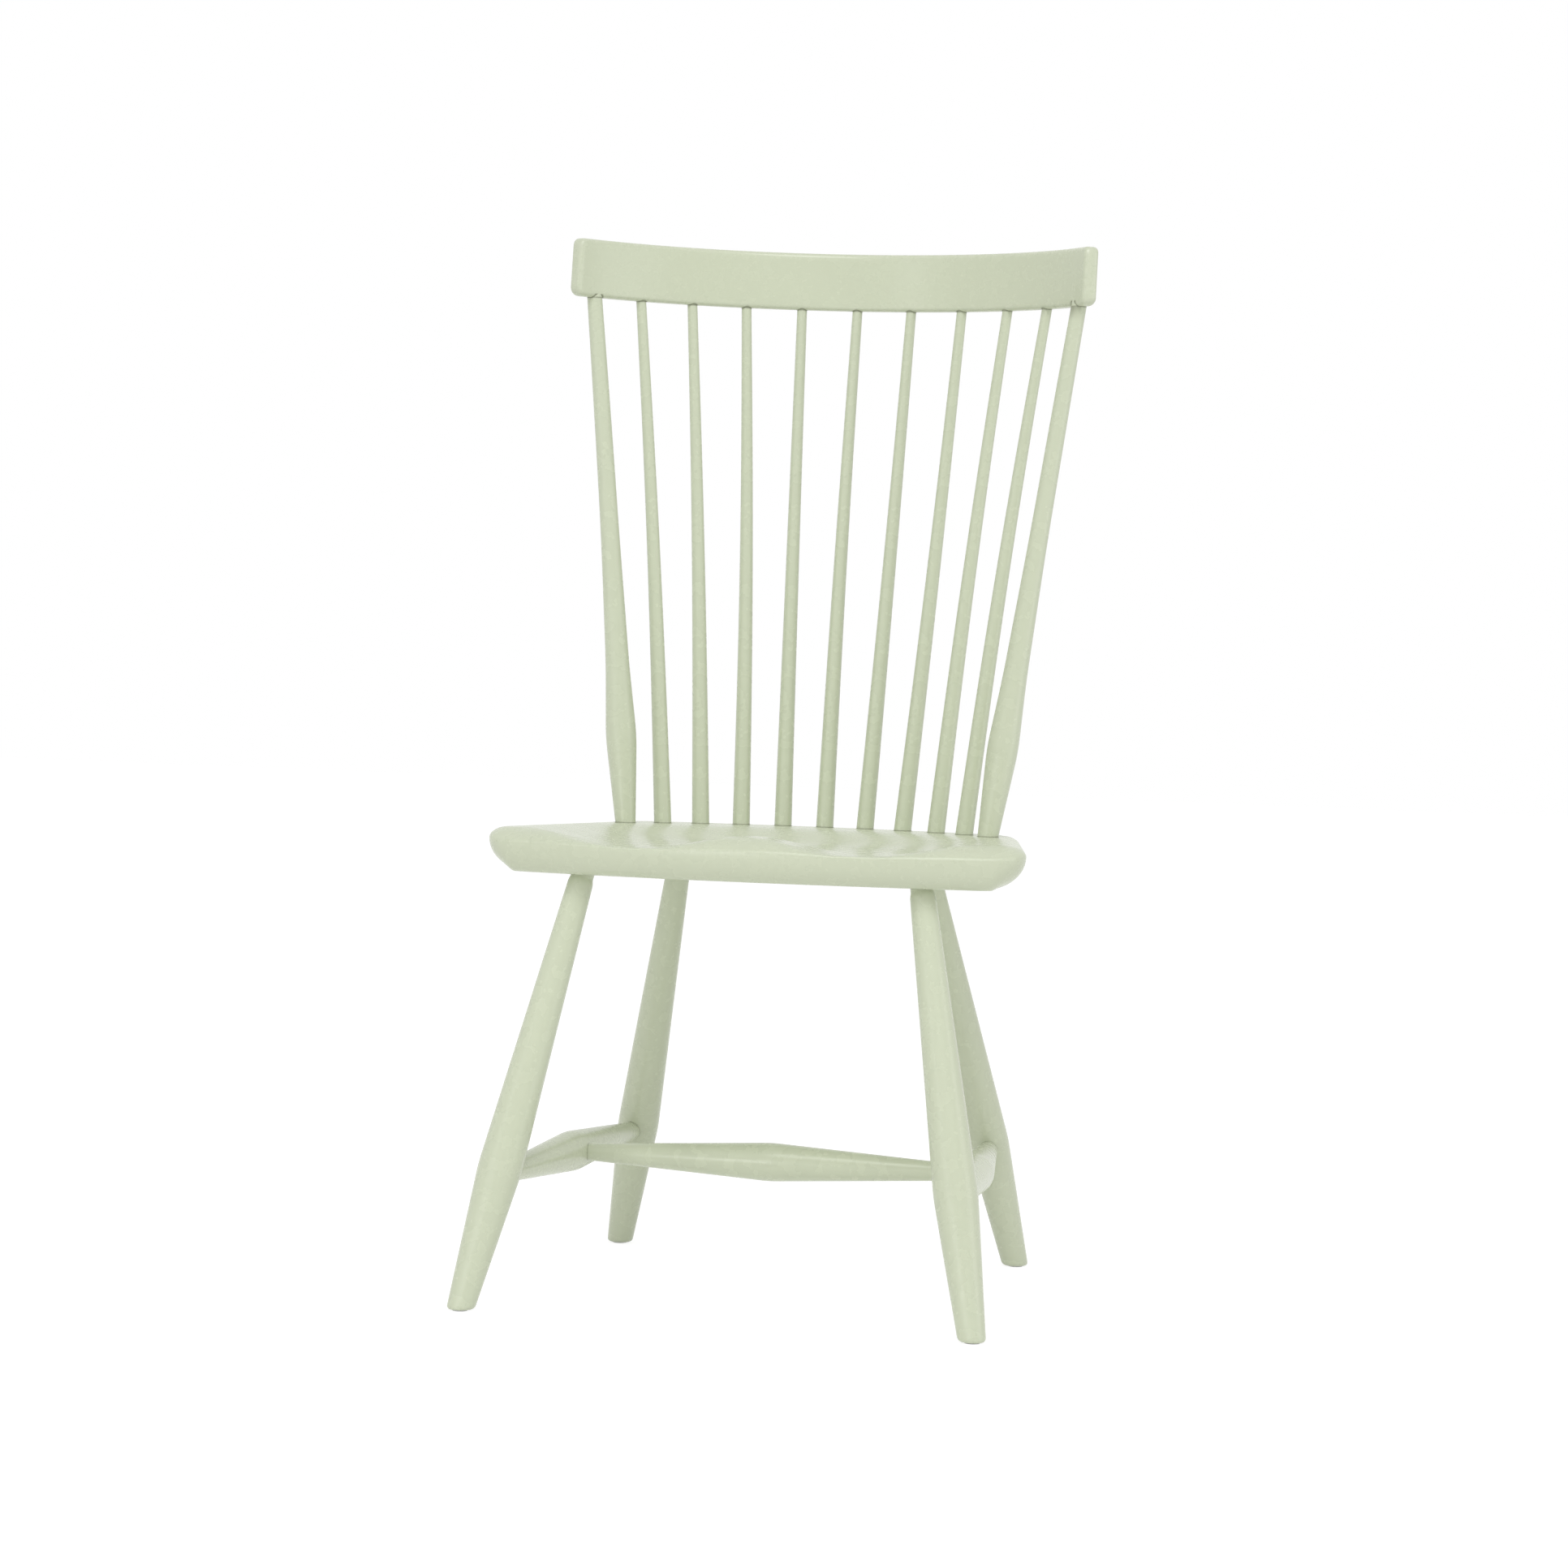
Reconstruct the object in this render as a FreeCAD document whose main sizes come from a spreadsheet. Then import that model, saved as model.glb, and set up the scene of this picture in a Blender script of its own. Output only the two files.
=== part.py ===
import FreeCAD, Part
import math
import os
import Sketcher
from FreeCAD import Placement, Rotation, Vector

# High-backed Windsor side chair: a shaped plank seat, four raked legs braced by an H of three
# stretchers, nine sticks between two turned back posts, and one bent crest rail over them.
# +X is the sitter's left, -Y is the front, +Z is up.
# The origin lies on the floor under the middle of the chair's outline.

DIMENSIONS = {
    # Seat plank, measured in its own plane before it is pitched back.
    "seat_thickness": 42.0,
    "seat_front": 225.0,
    "seat_rear": 214.0,
    "front_edge_radius": 800.0,
    "rear_edge_radius": 560.0,
    "front_corner_half": 264.0,
    "rear_corner_half": 202.0,
    "front_corner_round": 40.0,
    "rear_corner_round": 75.0,
    "rim_top_round": 13.0,
    "rim_under_round": 18.0,
    "seat_pitch": 1.0,
    "deck_height": 442.7,
    "deck_depth": 128.0,
    # The front edge rolls down along an arc whose centre lies this far in from the edge and
    # this far below the deck. The nose laps past the front face, so that no flat is left on it.
    "front_roll_radius": 52.0,
    "front_roll_setback": 34.0,
    "front_roll_sink": 51.7,
    "front_nose_round": 6.0,
    "front_nose_lap": 0.2,
    # Two hollows for the thighs, open to the front edge, leave a pommel between them.
    "thigh_half_spacing": 107.0,
    "thigh_setback": -170.0,
    "thigh_depth": 13.0,
    "thigh_long_radius": 330.0,
    "thigh_wide_radius": 131.0,
    "thigh_tall_radius": 60.0,
    # Behind them they run out into one wide bowl.
    "bowl_setback": -10.0,
    "bowl_depth": 14.5,
    "bowl_long_radius": 196.0,
    "bowl_wide_radius": 330.0,
    "bowl_tall_radius": 60.0,
    # Legs: the axis passes through a foot point on the floor and a top point at rake_height.
    "rake_height": 413.0,
    "front_foot_half": 242.3,
    "front_foot_depth": -278.6,
    "front_top_half": 162.3,
    "front_top_depth": -166.6,
    "rear_foot_half": 208.5,
    "rear_foot_depth": 200.8,
    "rear_top_half": 125.7,
    "rear_top_depth": 75.0,
    "leg_foot_radius": 12.8,
    "leg_ridge_radius": 20.9,
    "leg_ridge_height": 129.3,
    "leg_top_radius": 12.1,
    "leg_tenon_radius": 10.9,
    "leg_socket_depth": 24.0,
    "leg_neck": 4.0,
    "foot_rim_round": 4.0,
    # Stretchers of the H brace.
    "stretcher_height": 124.0,
    "stretcher_end_radius": 9.3,
    "side_bulge_radius": 19.8,
    "centre_end_radius": 8.4,
    "centre_bulge_radius": 18.9,
    "stretcher_socket": 18.0,
    # Fan of the back: equal angular steps on two arcs, one on the seat and one in the crest.
    "seat_arc_centre": -39.4,
    "seat_arc_radius": 220.4,
    "seat_arc_step": 11.19,
    "seat_post_angle": 57.1,
    "crest_arc_centre": -35.8,
    "crest_arc_radius": 310.1,
    "crest_arc_step": 10.74,
    "crest_post_angle": 53.65,
    "crest_bottom": 977.3,
    # Sticks and posts. The post's three turned places are fractions of its length from the seat.
    "stick_seat_radius": 8.9,
    "stick_crest_radius": 5.1,
    "stick_seat_socket": 26.0,
    "stick_crest_socket": 25.0,
    "post_seat_radius": 10.3,
    "post_bulb_radius": 15.7,
    "post_shank_radius": 12.0,
    "post_mid_radius": 9.4,
    "post_top_radius": 7.7,
    "post_tenon_radius": 5.5,
    "post_bulb_place": 0.163,
    "post_shank_place": 0.297,
    "post_mid_place": 0.545,
    "post_shoulder": 1.5,
    # A straight tenon shows this far beyond the face it enters before the taper starts.
    "tenon_reveal": 2.5,
    # Crest rail.
    "crest_height": 58.4,
    "crest_thickness": 15.0,
    "crest_end_angle": 59.0,
    "crest_lean": 8.5,
    "crest_top_corner": 6.5,
    "crest_low_corner": 10.0,
    "crest_round": 4.5,
    # Pins that lock the posts in the crest; each is driven in just under the surface.
    "pin_radius": 1.5,
    "pin_length": 11.0,
    "pin_height": 12.0,
    "pin_sink": 0.5,
    # Glides under the feet.
    "glide_height": 1.0,
    "glide_radius": 7.0,
    "glide_bevel": 1.0,
    "glide_wall": 1.0,
    "glide_nail_radius": 1.2,
    "glide_nail_length": 12.0,
    # Radial room for glue between each tenon and its socket, and the drill's extra depth.
    "glue_gap": 0.1,
    "drill_overrun": 1.0,
}

LEGS = {
    "front_left_leg": ("front", 1),
    "front_right_leg": ("front", -1),
    "rear_left_leg": ("rear", 1),
    "rear_right_leg": ("rear", -1),
}
SIDE_STRETCHERS = {"left_side_stretcher": 1, "right_side_stretcher": -1}
POSTS = {"left_back_post": 1, "right_back_post": -1}
# Sticks are numbered from the sitter's right, and the posts take the next place at each end.
STICK_COUNT = 9
MIDDLE_STICK = 5
POST_PLACE = 5
QUARTER_TURN = math.pi / 2
UP = Vector(0, 0, 1)
# Cutting tools reach this far out of the wood they open, and lengths this close count as equal.
CLEAR = 30.0
NEAR = 0.01

doc = FreeCAD.newDocument("windsor_chair")
sheet = doc.addObject("Spreadsheet::Sheet", "Dimensions")


def add_cells(values, first_row):
    for row, (alias, value) in enumerate(values.items(), start=first_row):
        sheet.set("A%d" % row, alias)
        sheet.set("B%d" % row, "%.4f" % value)
        sheet.setAlias("B%d" % row, alias)
    doc.recompute()


def size(alias):
    return float(sheet.get(alias))


def evaluate(expression):
    return float(sheet.evalExpression(expression.replace("Dimensions.", "")))


def cell(alias):
    return "Dimensions." + alias


def aim(start, end):
    return Placement(start, Rotation(UP, end - start))


# Points and directions of the chair.


def seat_point(across, back, up):
    # A point given in the seat's own plane, where up is measured from the top of the plank.
    pitch = math.radians(size("seat_pitch"))
    drop = back - size("deck_depth")
    y = size("deck_depth") + drop * math.cos(pitch) + up * math.sin(pitch)
    z = size("deck_height") - drop * math.sin(pitch) + up * math.cos(pitch)
    return Vector(across, y, z)


def deck_height_at(y, up=0.0):
    pitch = math.radians(size("seat_pitch"))
    return size("deck_height") - (y - size("deck_depth")) * math.tan(pitch) + up / math.cos(pitch)


def arc_point(which, degrees, height):
    centre = size(which + "_arc_centre")
    radius = size(which + "_arc_radius")
    angle = math.radians(degrees)
    return Vector(radius * math.sin(angle), centre + radius * math.cos(angle), height)


def stick_line(place):
    # Place 0 is the middle stick and +-POST_PLACE the posts.
    # Returns the points on the deck and under the crest, and the direction between them.
    if abs(place) == POST_PLACE:
        side = place / POST_PLACE
        low = side * size("seat_post_angle")
        high = side * size("crest_post_angle")
    else:
        low = place * size("seat_arc_step")
        high = place * size("crest_arc_step")
    base = arc_point("seat", low, 0)
    base.z = deck_height_at(base.y)
    top = arc_point("crest", high, size("crest_bottom"))
    return base, top, (top - base).normalize()


def leg_line(which, side):
    # The foot point on the floor, and the step along the axis for one millimetre of height.
    foot = Vector(side * size(which + "_foot_half"), size(which + "_foot_depth"), 0)
    top = Vector(side * size(which + "_top_half"), size(which + "_top_depth"), size("rake_height"))
    return foot, (top - foot) / size("rake_height")


def leg_point(which, side, height):
    foot, slope = leg_line(which, side)
    return foot + slope * height


def seat_entry(which, side):
    # Where the leg's axis meets the underside of the plank: height and plank are matched in turn.
    height = size("rake_height")
    for _ in range(5):
        height = deck_height_at(leg_point(which, side, height).y, -size("seat_thickness"))
    return leg_point(which, side, height)


def side_stretcher_joints(side):
    height = size("stretcher_height")
    return leg_point("front", side, height), leg_point("rear", side, height)


def side_stretcher_ends(side):
    # Each tenon goes stretcher_socket deep into the wood of its leg.
    front, rear = side_stretcher_joints(side)
    short_of_axis = (rear - front).normalize() * (size("leg_ridge_radius") - size("stretcher_socket"))
    return front + short_of_axis, rear - short_of_axis


def centre_stretcher_ends():
    inset = Vector(size("side_bulge_radius") - size("stretcher_socket"), 0, 0)
    left_front, left_rear = side_stretcher_joints(1)
    right_front, right_rear = side_stretcher_joints(-1)
    return (right_front + right_rear) / 2 + inset, (left_front + left_rear) / 2 - inset


def pin_line(side):
    # From the pin's inner end to its head, and the direction out of the back of the rail.
    base, top, along = stick_line(side * POST_PLACE)
    angle = math.radians(side * size("crest_post_angle"))
    outward = Vector(math.sin(angle), math.cos(angle), 0)
    centre = top + along * (size("pin_height") / along.z)
    lean = math.tan(math.radians(size("crest_lean"))) * size("pin_height")
    to_face = size("crest_thickness") / 2 + lean * outward.y - (centre - top).dot(outward)
    head = centre + outward * (to_face - size("pin_sink"))
    return head - outward * size("pin_length"), head, outward


def derived_lengths():
    # Lengths that follow from the driving dimensions and shape the turned pieces.
    values = {}
    for name, (which, side) in LEGS.items():
        entry = seat_entry(which, side).z
        per_height = leg_line(which, side)[1].Length
        values[name + "_entry"] = entry * per_height
        values[name + "_reach"] = (entry + size("leg_socket_depth")) * per_height
        values[name + "_ridge"] = size("leg_ridge_height") * per_height
    for name, side in SIDE_STRETCHERS.items():
        start, end = side_stretcher_ends(side)
        values[name + "_length"] = (end - start).Length
    start, end = centre_stretcher_ends()
    values["centre_stretcher_length"] = (end - start).Length
    for number in range(1, STICK_COUNT + 1):
        base, top, along = stick_line(number - MIDDLE_STICK)
        values["stick_%d_span" % number] = (top - base).Length
    for name, side in POSTS.items():
        base, top, along = stick_line(side * POST_PLACE)
        values[name + "_span"] = (top - base).Length
    return values


# Ways of making a piece.


def origin_plane(body, role):
    for feature in body.Origin.OriginFeatures:
        if feature.Role == role:
            return feature
    raise RuntimeError("no plane " + role)


def new_sketch(body, name, role):
    sketch = body.newObject("Sketcher::SketchObject", name)
    sketch.AttachmentSupport = [(origin_plane(body, role), "")]
    sketch.MapMode = "FlatFace"
    sketch.Visibility = False
    return sketch


def join_ends(sketch, joins):
    for one, end_one, two, end_two in joins:
        sketch.addConstraint(Sketcher.Constraint("Coincident", one, end_one, two, end_two))


def drive(sketch, kind, places, expression, name):
    # One driving constraint, named and tied to the sheet.
    index = sketch.addConstraint(Sketcher.Constraint(kind, *places, evaluate(expression)))
    sketch.renameConstraint(index, name)
    sketch.setExpression("Constraints." + name, expression)


def turned_body(name, stations):
    # Lathe work: (distance along the axis, radius) pairs, both as sheet expressions.
    body = doc.addObject("PartDesign::Body", name)
    sketch = new_sketch(body, name + "_outline", "XZ_Plane")
    places = [(evaluate(radius), evaluate(along)) for along, radius in stations]
    corners = [Vector(0, places[0][1], 0)]
    corners += [Vector(radius, along, 0) for radius, along in places]
    corners += [Vector(0, places[-1][1], 0)]
    count = len(corners)
    for i in range(count):
        sketch.addGeometry(Part.LineSegment(corners[i], corners[(i + 1) % count]), False)
    join_ends(sketch, [(i, 2, (i + 1) % count, 1) for i in range(count)])
    sketch.addConstraint(Sketcher.Constraint("PointOnObject", 0, 1, -2))
    sketch.addConstraint(Sketcher.Constraint("PointOnObject", count - 1, 1, -2))
    sketch.addConstraint(Sketcher.Constraint("Horizontal", 0))
    sketch.addConstraint(Sketcher.Constraint("Horizontal", count - 2))
    for i, (along, radius) in enumerate(stations):
        drive(sketch, "DistanceX", (-1, 1, i, 2), radius, "radius%d" % i)
        drive(sketch, "DistanceY", (-1, 1, i, 2), along, "along%d" % i)
    turning = body.newObject("PartDesign::Revolution", name + "_turning")
    turning.Profile = sketch
    turning.ReferenceAxis = (sketch, ["V_Axis"])
    turning.Angle = 360.0
    return body


def cylinder(name, start, end, radius):
    # The radius is a sheet expression.
    tool = doc.addObject("Part::Cylinder", name)
    tool.Height = (end - start).Length
    tool.setExpression("Radius", radius)
    tool.Placement = aim(start, end)
    return tool


def socket(name, mouth, bottom, tenon_radius):
    # A drilled hole that opens at the mouth and ends a little past the bottom of its tenon.
    along = (bottom - mouth).normalize()
    return cylinder(name, mouth - along * CLEAR, bottom + along * size("drill_overrun"),
                    cell(tenon_radius) + " + Dimensions.glue_gap")


def cut_away(label, base, tools):
    # The finished piece: the blank less its sockets and bores.
    cutter = tools[0]
    if len(tools) > 1:
        cutter = doc.addObject("Part::MultiFuse", label + "_cutters")
        cutter.Shapes = tools
    piece = doc.addObject("Part::Cut", label + "_piece")
    piece.Base = base
    piece.Tool = cutter
    piece.Label = label
    piece.recompute(True)
    if piece.Shape.Volume >= base.Shape.Volume:
        raise RuntimeError(label + " was not cut")
    return piece


def edges_where(shape, test):
    return ["Edge%d" % i for i, edge in enumerate(shape.Edges, start=1) if test(edge.BoundBox)]


def fillet(body, name, edges, radius):
    base = body.Tip
    rounded = body.newObject("PartDesign::Fillet", name)
    rounded.Base = (base, edges)
    rounded.setExpression("Radius", cell(radius))
    rounded.recompute()
    return rounded


# Seat.


def seat_outline(body):
    outline = new_sketch(body, "seat_outline", "XY_Plane")
    front_radius = size("front_edge_radius")
    rear_radius = size("rear_edge_radius")
    front_centre = Vector(0, front_radius - size("seat_front"), 0)
    rear_centre = Vector(0, size("seat_rear") - rear_radius, 0)
    front_half = math.asin(size("front_corner_half") / front_radius)
    rear_half = math.asin(size("rear_corner_half") / rear_radius)
    front = Part.ArcOfCircle(Part.Circle(front_centre, UP, front_radius),
                             -QUARTER_TURN - front_half, -QUARTER_TURN + front_half)
    rear = Part.ArcOfCircle(Part.Circle(rear_centre, UP, rear_radius),
                            QUARTER_TURN - rear_half, QUARTER_TURN + rear_half)
    outline.addGeometry(front, False)
    outline.addGeometry(Part.LineSegment(front.EndPoint, rear.StartPoint), False)
    outline.addGeometry(rear, False)
    outline.addGeometry(Part.LineSegment(rear.EndPoint, front.StartPoint), False)
    join_ends(outline, [(0, 2, 1, 1), (1, 2, 2, 1), (2, 2, 3, 1), (3, 2, 0, 1)])
    for arc in (0, 2):
        outline.addConstraint(Sketcher.Constraint("PointOnObject", arc, 3, -2))
        outline.addConstraint(Sketcher.Constraint("Symmetric", arc, 1, arc, 2, -2))
    drive(outline, "Radius", (0,), cell("front_edge_radius"), "front_radius")
    drive(outline, "Radius", (2,), cell("rear_edge_radius"), "rear_radius")
    drive(outline, "DistanceX", (-1, 1, 0, 2), cell("front_corner_half"), "front_half")
    drive(outline, "DistanceX", (-1, 1, 2, 1), cell("rear_corner_half"), "rear_half")
    drive(outline, "DistanceY", (-1, 1, 0, 3),
          "Dimensions.front_edge_radius - Dimensions.seat_front", "front_centre")
    drive(outline, "DistanceY", (2, 3, -1, 1),
          "Dimensions.rear_edge_radius - Dimensions.seat_rear", "rear_centre")
    return outline


def front_roll_profile(body):
    # The scrap above the rolled front edge, to be swept round the centre of the front arc.
    # A long arc leaves the deck and a short one turns it down into the upright front face.
    profile = new_sketch(body, "front_roll_profile", "YZ_Plane")
    long_radius = size("front_roll_radius")
    short_radius = size("front_nose_round")
    long_centre = Vector(size("front_roll_setback") - size("seat_front"),
                         size("seat_thickness") - size("front_roll_sink"), 0)
    short_across = short_radius - size("seat_front") - size("front_nose_lap") - long_centre.x
    turn = math.acos(short_across / (long_radius - short_radius))
    short_centre = long_centre + Vector(math.cos(turn), math.sin(turn), 0) * (long_radius - short_radius)
    roll = Part.ArcOfCircle(Part.Circle(long_centre, UP, long_radius), QUARTER_TURN, turn)
    nose = Part.ArcOfCircle(Part.Circle(short_centre, UP, short_radius), turn, math.pi)
    crown, lip = roll.StartPoint, nose.EndPoint
    outside = Vector(lip.x - CLEAR, lip.y, 0)
    ceiling = size("seat_thickness") + CLEAR
    spin_place = size("front_edge_radius") - size("seat_front")
    corners = [lip, outside, Vector(outside.x, ceiling, 0), Vector(crown.x, ceiling, 0), crown]
    profile.addGeometry(roll, False)
    profile.addGeometry(nose, False)
    for start, end in zip(corners, corners[1:]):
        profile.addGeometry(Part.LineSegment(start, end), False)
    profile.addGeometry(Part.LineSegment(Vector(spin_place, 0, 0), Vector(spin_place, CLEAR, 0)), True)
    join_ends(profile, [(1, 2, 2, 1), (2, 2, 3, 1), (3, 2, 4, 1), (4, 2, 5, 1), (5, 2, 0, 1)])
    profile.addConstraint(Sketcher.Constraint("Tangent", 0, 2, 1, 1))
    profile.addConstraint(Sketcher.Constraint("Vertical", 0, 3, 0, 1))
    profile.addConstraint(Sketcher.Constraint("Horizontal", 1, 3, 1, 2))
    for line in (2, 4):
        profile.addConstraint(Sketcher.Constraint("Horizontal", line))
    for line in (3, 5, 6):
        profile.addConstraint(Sketcher.Constraint("Vertical", line))
    profile.addConstraint(Sketcher.Constraint("PointOnObject", 6, 1, -1))
    drive(profile, "Radius", (0,), cell("front_roll_radius"), "roll_radius")
    drive(profile, "Radius", (1,), cell("front_nose_round"), "nose_radius")
    drive(profile, "DistanceX", (0, 3, -1, 1),
          "Dimensions.seat_front - Dimensions.front_roll_setback", "roll_setback")
    drive(profile, "DistanceY", (0, 3, -1, 1),
          "Dimensions.front_roll_sink - Dimensions.seat_thickness", "roll_sink")
    drive(profile, "DistanceX", (1, 2, -1, 1),
          "Dimensions.seat_front + Dimensions.front_nose_lap", "lip_place")
    drive(profile, "DistanceX", (-1, 1, 6, 1),
          "Dimensions.front_edge_radius - Dimensions.seat_front", "spin_place")
    return profile


def build_seat():
    body = doc.addObject("PartDesign::Body", "seat_plank")
    outline = seat_outline(body)
    plank = body.newObject("PartDesign::Pad", "plank")
    plank.Profile = outline
    plank.setExpression("Length", cell("seat_thickness"))
    plank.recompute(True)
    last = plank
    for which in ("front", "rear"):
        reach = size(which + "_corner_half")
        upright = edges_where(last.Shape, lambda box: box.XLength < NEAR and box.YLength < NEAR
                              and abs(abs(box.XMin) - reach) < NEAR)
        last = fillet(body, which + "_corners", upright, which + "_corner_round")
    for name, level in (("rim_top", size("seat_thickness")), ("rim_under", 0.0)):
        rim = edges_where(last.Shape, lambda box: box.ZLength < NEAR and abs(box.ZMin - level) < NEAR)
        last = fillet(body, name, rim, name + "_round")
    roll = body.newObject("PartDesign::Groove", "front_roll")
    roll.Profile = front_roll_profile(body)
    roll.ReferenceAxis = (roll.Profile[0], ["Axis0"])
    roll.Angle = 360.0
    roll.recompute(True)
    if roll.Shape.Volume >= last.Shape.Volume:
        raise RuntimeError("the front roll cut nothing")
    last = roll
    hollows = (("left_dish", "thigh", 1), ("right_dish", "thigh", -1), ("bowl_dish", "bowl", 0))
    for name, hollow, side in hollows:
        dish = body.newObject("PartDesign::SubtractiveEllipsoid", name)
        dish.setExpression("Radius1", cell(hollow + "_tall_radius"))
        dish.setExpression("Radius2", cell(hollow + "_wide_radius"))
        dish.setExpression("Radius3", cell(hollow + "_long_radius"))
        above = size("seat_thickness") + size(hollow + "_tall_radius") - size(hollow + "_depth")
        place = Vector(side * size("thigh_half_spacing"), size(hollow + "_setback"), above)
        dish.Placement = Placement(place, Rotation())
        dish.recompute(True)
        if dish.Shape.Volume >= last.Shape.Volume:
            raise RuntimeError(name + " cut nothing")
        last = dish
    underside = seat_point(0, 0, -size("seat_thickness"))
    body.Placement = Placement(underside, Rotation(Vector(1, 0, 0), -size("seat_pitch")))
    tools = []
    for name, (which, side) in LEGS.items():
        entry = seat_entry(which, side)
        bottom = entry + leg_line(which, side)[1] * size("leg_socket_depth")
        tools.append(socket(name + "_socket", entry, bottom, "leg_tenon_radius"))
    for place in range(-POST_PLACE, POST_PLACE + 1):
        base, top, along = stick_line(place)
        tenon = "post_seat_radius" if abs(place) == POST_PLACE else "stick_seat_radius"
        bottom = base - along * size("stick_seat_socket")
        tools.append(socket("seat_socket_%d" % (place + MIDDLE_STICK), base, bottom, tenon))
    return cut_away("seat", body, tools)


# Legs, each sawn level at the foot and drilled for its glide's nail and its stretcher.


def floor_saw(name, foot):
    saw = doc.addObject("Part::Box", name + "_saw")
    saw.Length = 2 * CLEAR
    saw.Width = 2 * CLEAR
    saw.Height = CLEAR
    corner = Vector(foot.x - CLEAR, foot.y - CLEAR, size("glide_height") - CLEAR)
    saw.Placement = Placement(corner, Rotation())
    return saw


def nail_bore(name, foot):
    mouth = foot + UP * size("glide_height")
    return socket(name + "_nail_bore", mouth, mouth + UP * size("glide_nail_length"), "glide_nail_radius")


def round_foot(name, piece):
    # Takes the sharp corner off the outer edge of the level foot.
    level = size("glide_height")
    radius = size("foot_rim_round")
    rim = []
    for i, edge in enumerate(piece.Shape.Edges, start=1):
        box = edge.BoundBox
        flat = box.ZLength < NEAR and abs(box.ZMin - level) < NEAR
        if flat and box.XLength > size("leg_foot_radius"):
            rim.append((i, radius, radius))
    rounded = doc.addObject("Part::Fillet", name + "_rounded")
    rounded.Base = piece
    rounded.Edges = rim
    piece.Label = name + "_sawn"
    rounded.Label = name
    return rounded


def build_leg(name, which, side):
    foot, slope = leg_line(which, side)
    entry = cell(name + "_entry")
    body = turned_body(name + "_blank", [
        ("0 - Dimensions.leg_foot_radius", cell("leg_foot_radius")),
        (cell(name + "_ridge"), cell("leg_ridge_radius")),
        (entry + " - Dimensions.leg_neck * 2", cell("leg_top_radius")),
        (entry + " - Dimensions.leg_neck", cell("leg_tenon_radius")),
        (cell(name + "_reach"), cell("leg_tenon_radius")),
    ])
    body.Placement = aim(foot, foot + slope)
    joints = side_stretcher_joints(side)
    ends = side_stretcher_ends(side)
    end = 0 if which == "front" else 1
    side_socket = socket(name + "_socket", joints[1 - end], ends[end], "stretcher_end_radius")
    tools = [floor_saw(name, foot), nail_bore(name, foot), side_socket]
    return round_foot(name, cut_away(name, body, tools))


# Stretchers of the H, thickest in the middle.


def stretcher_body(name, ends, end_radius, bulge_radius):
    length = cell(name + "_length")
    tenon = "(Dimensions.stretcher_socket + Dimensions.tenon_reveal)"
    body = turned_body(name + "_turned", [
        ("Dimensions.glue_gap", cell(end_radius)),
        (tenon, cell(end_radius)),
        (length + " / 2", cell(bulge_radius)),
        (length + " - " + tenon, cell(end_radius)),
        (length + " - Dimensions.glue_gap", cell(end_radius)),
    ])
    body.Placement = aim(*ends)
    return body


def build_side_stretcher(name, side):
    body = stretcher_body(name, side_stretcher_ends(side), "stretcher_end_radius", "side_bulge_radius")
    right_end, left_end = centre_stretcher_ends()
    mouth, bottom = (right_end, left_end) if side > 0 else (left_end, right_end)
    return cut_away(name, body, [socket(name + "_socket", mouth, bottom, "centre_end_radius")])


def build_centre_stretcher():
    name = "centre_stretcher"
    body = stretcher_body(name, centre_stretcher_ends(), "centre_end_radius", "centre_bulge_radius")
    body.Label = name
    return body


# The back: sticks, posts, rail and the pins that lock the posts.


def build_stick(number):
    name = "stick_%d" % number
    base, top, along = stick_line(number - MIDDLE_STICK)
    shown_top = "Dimensions.stick_seat_socket + Dimensions.%s_span" % name
    body = turned_body(name + "_turned", [
        ("0", cell("stick_seat_radius")),
        ("Dimensions.stick_seat_socket + Dimensions.tenon_reveal", cell("stick_seat_radius")),
        (shown_top + " - Dimensions.tenon_reveal", cell("stick_crest_radius")),
        (shown_top + " + Dimensions.stick_crest_socket", cell("stick_crest_radius")),
    ])
    body.Placement = aim(base - along * size("stick_seat_socket"), top)
    body.Label = name
    return body


def build_post(name, side):
    base, top, along = stick_line(side * POST_PLACE)
    seat = "Dimensions.stick_seat_socket"
    span = cell(name + "_span")
    turned = "%s + %s * Dimensions.post_%s_place"
    shown_top = "%s + %s" % (seat, span)
    shoulder = shown_top + " - Dimensions.post_shoulder"
    body = turned_body(name + "_blank", [
        ("0", cell("post_seat_radius")),
        (seat + " + Dimensions.tenon_reveal", cell("post_seat_radius")),
        (turned % (seat, span, "bulb"), cell("post_bulb_radius")),
        (turned % (seat, span, "shank"), cell("post_shank_radius")),
        (turned % (seat, span, "mid"), cell("post_mid_radius")),
        (shoulder, cell("post_top_radius")),
        (shoulder, cell("post_tenon_radius")),
        (shown_top + " + Dimensions.stick_crest_socket", cell("post_tenon_radius")),
    ])
    body.Placement = aim(base - along * size("stick_seat_socket"), top)
    inner, head, outward = pin_line(side)
    return cut_away(name, body, [socket(name + "_pin_bore", head, inner, "pin_radius")])


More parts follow.
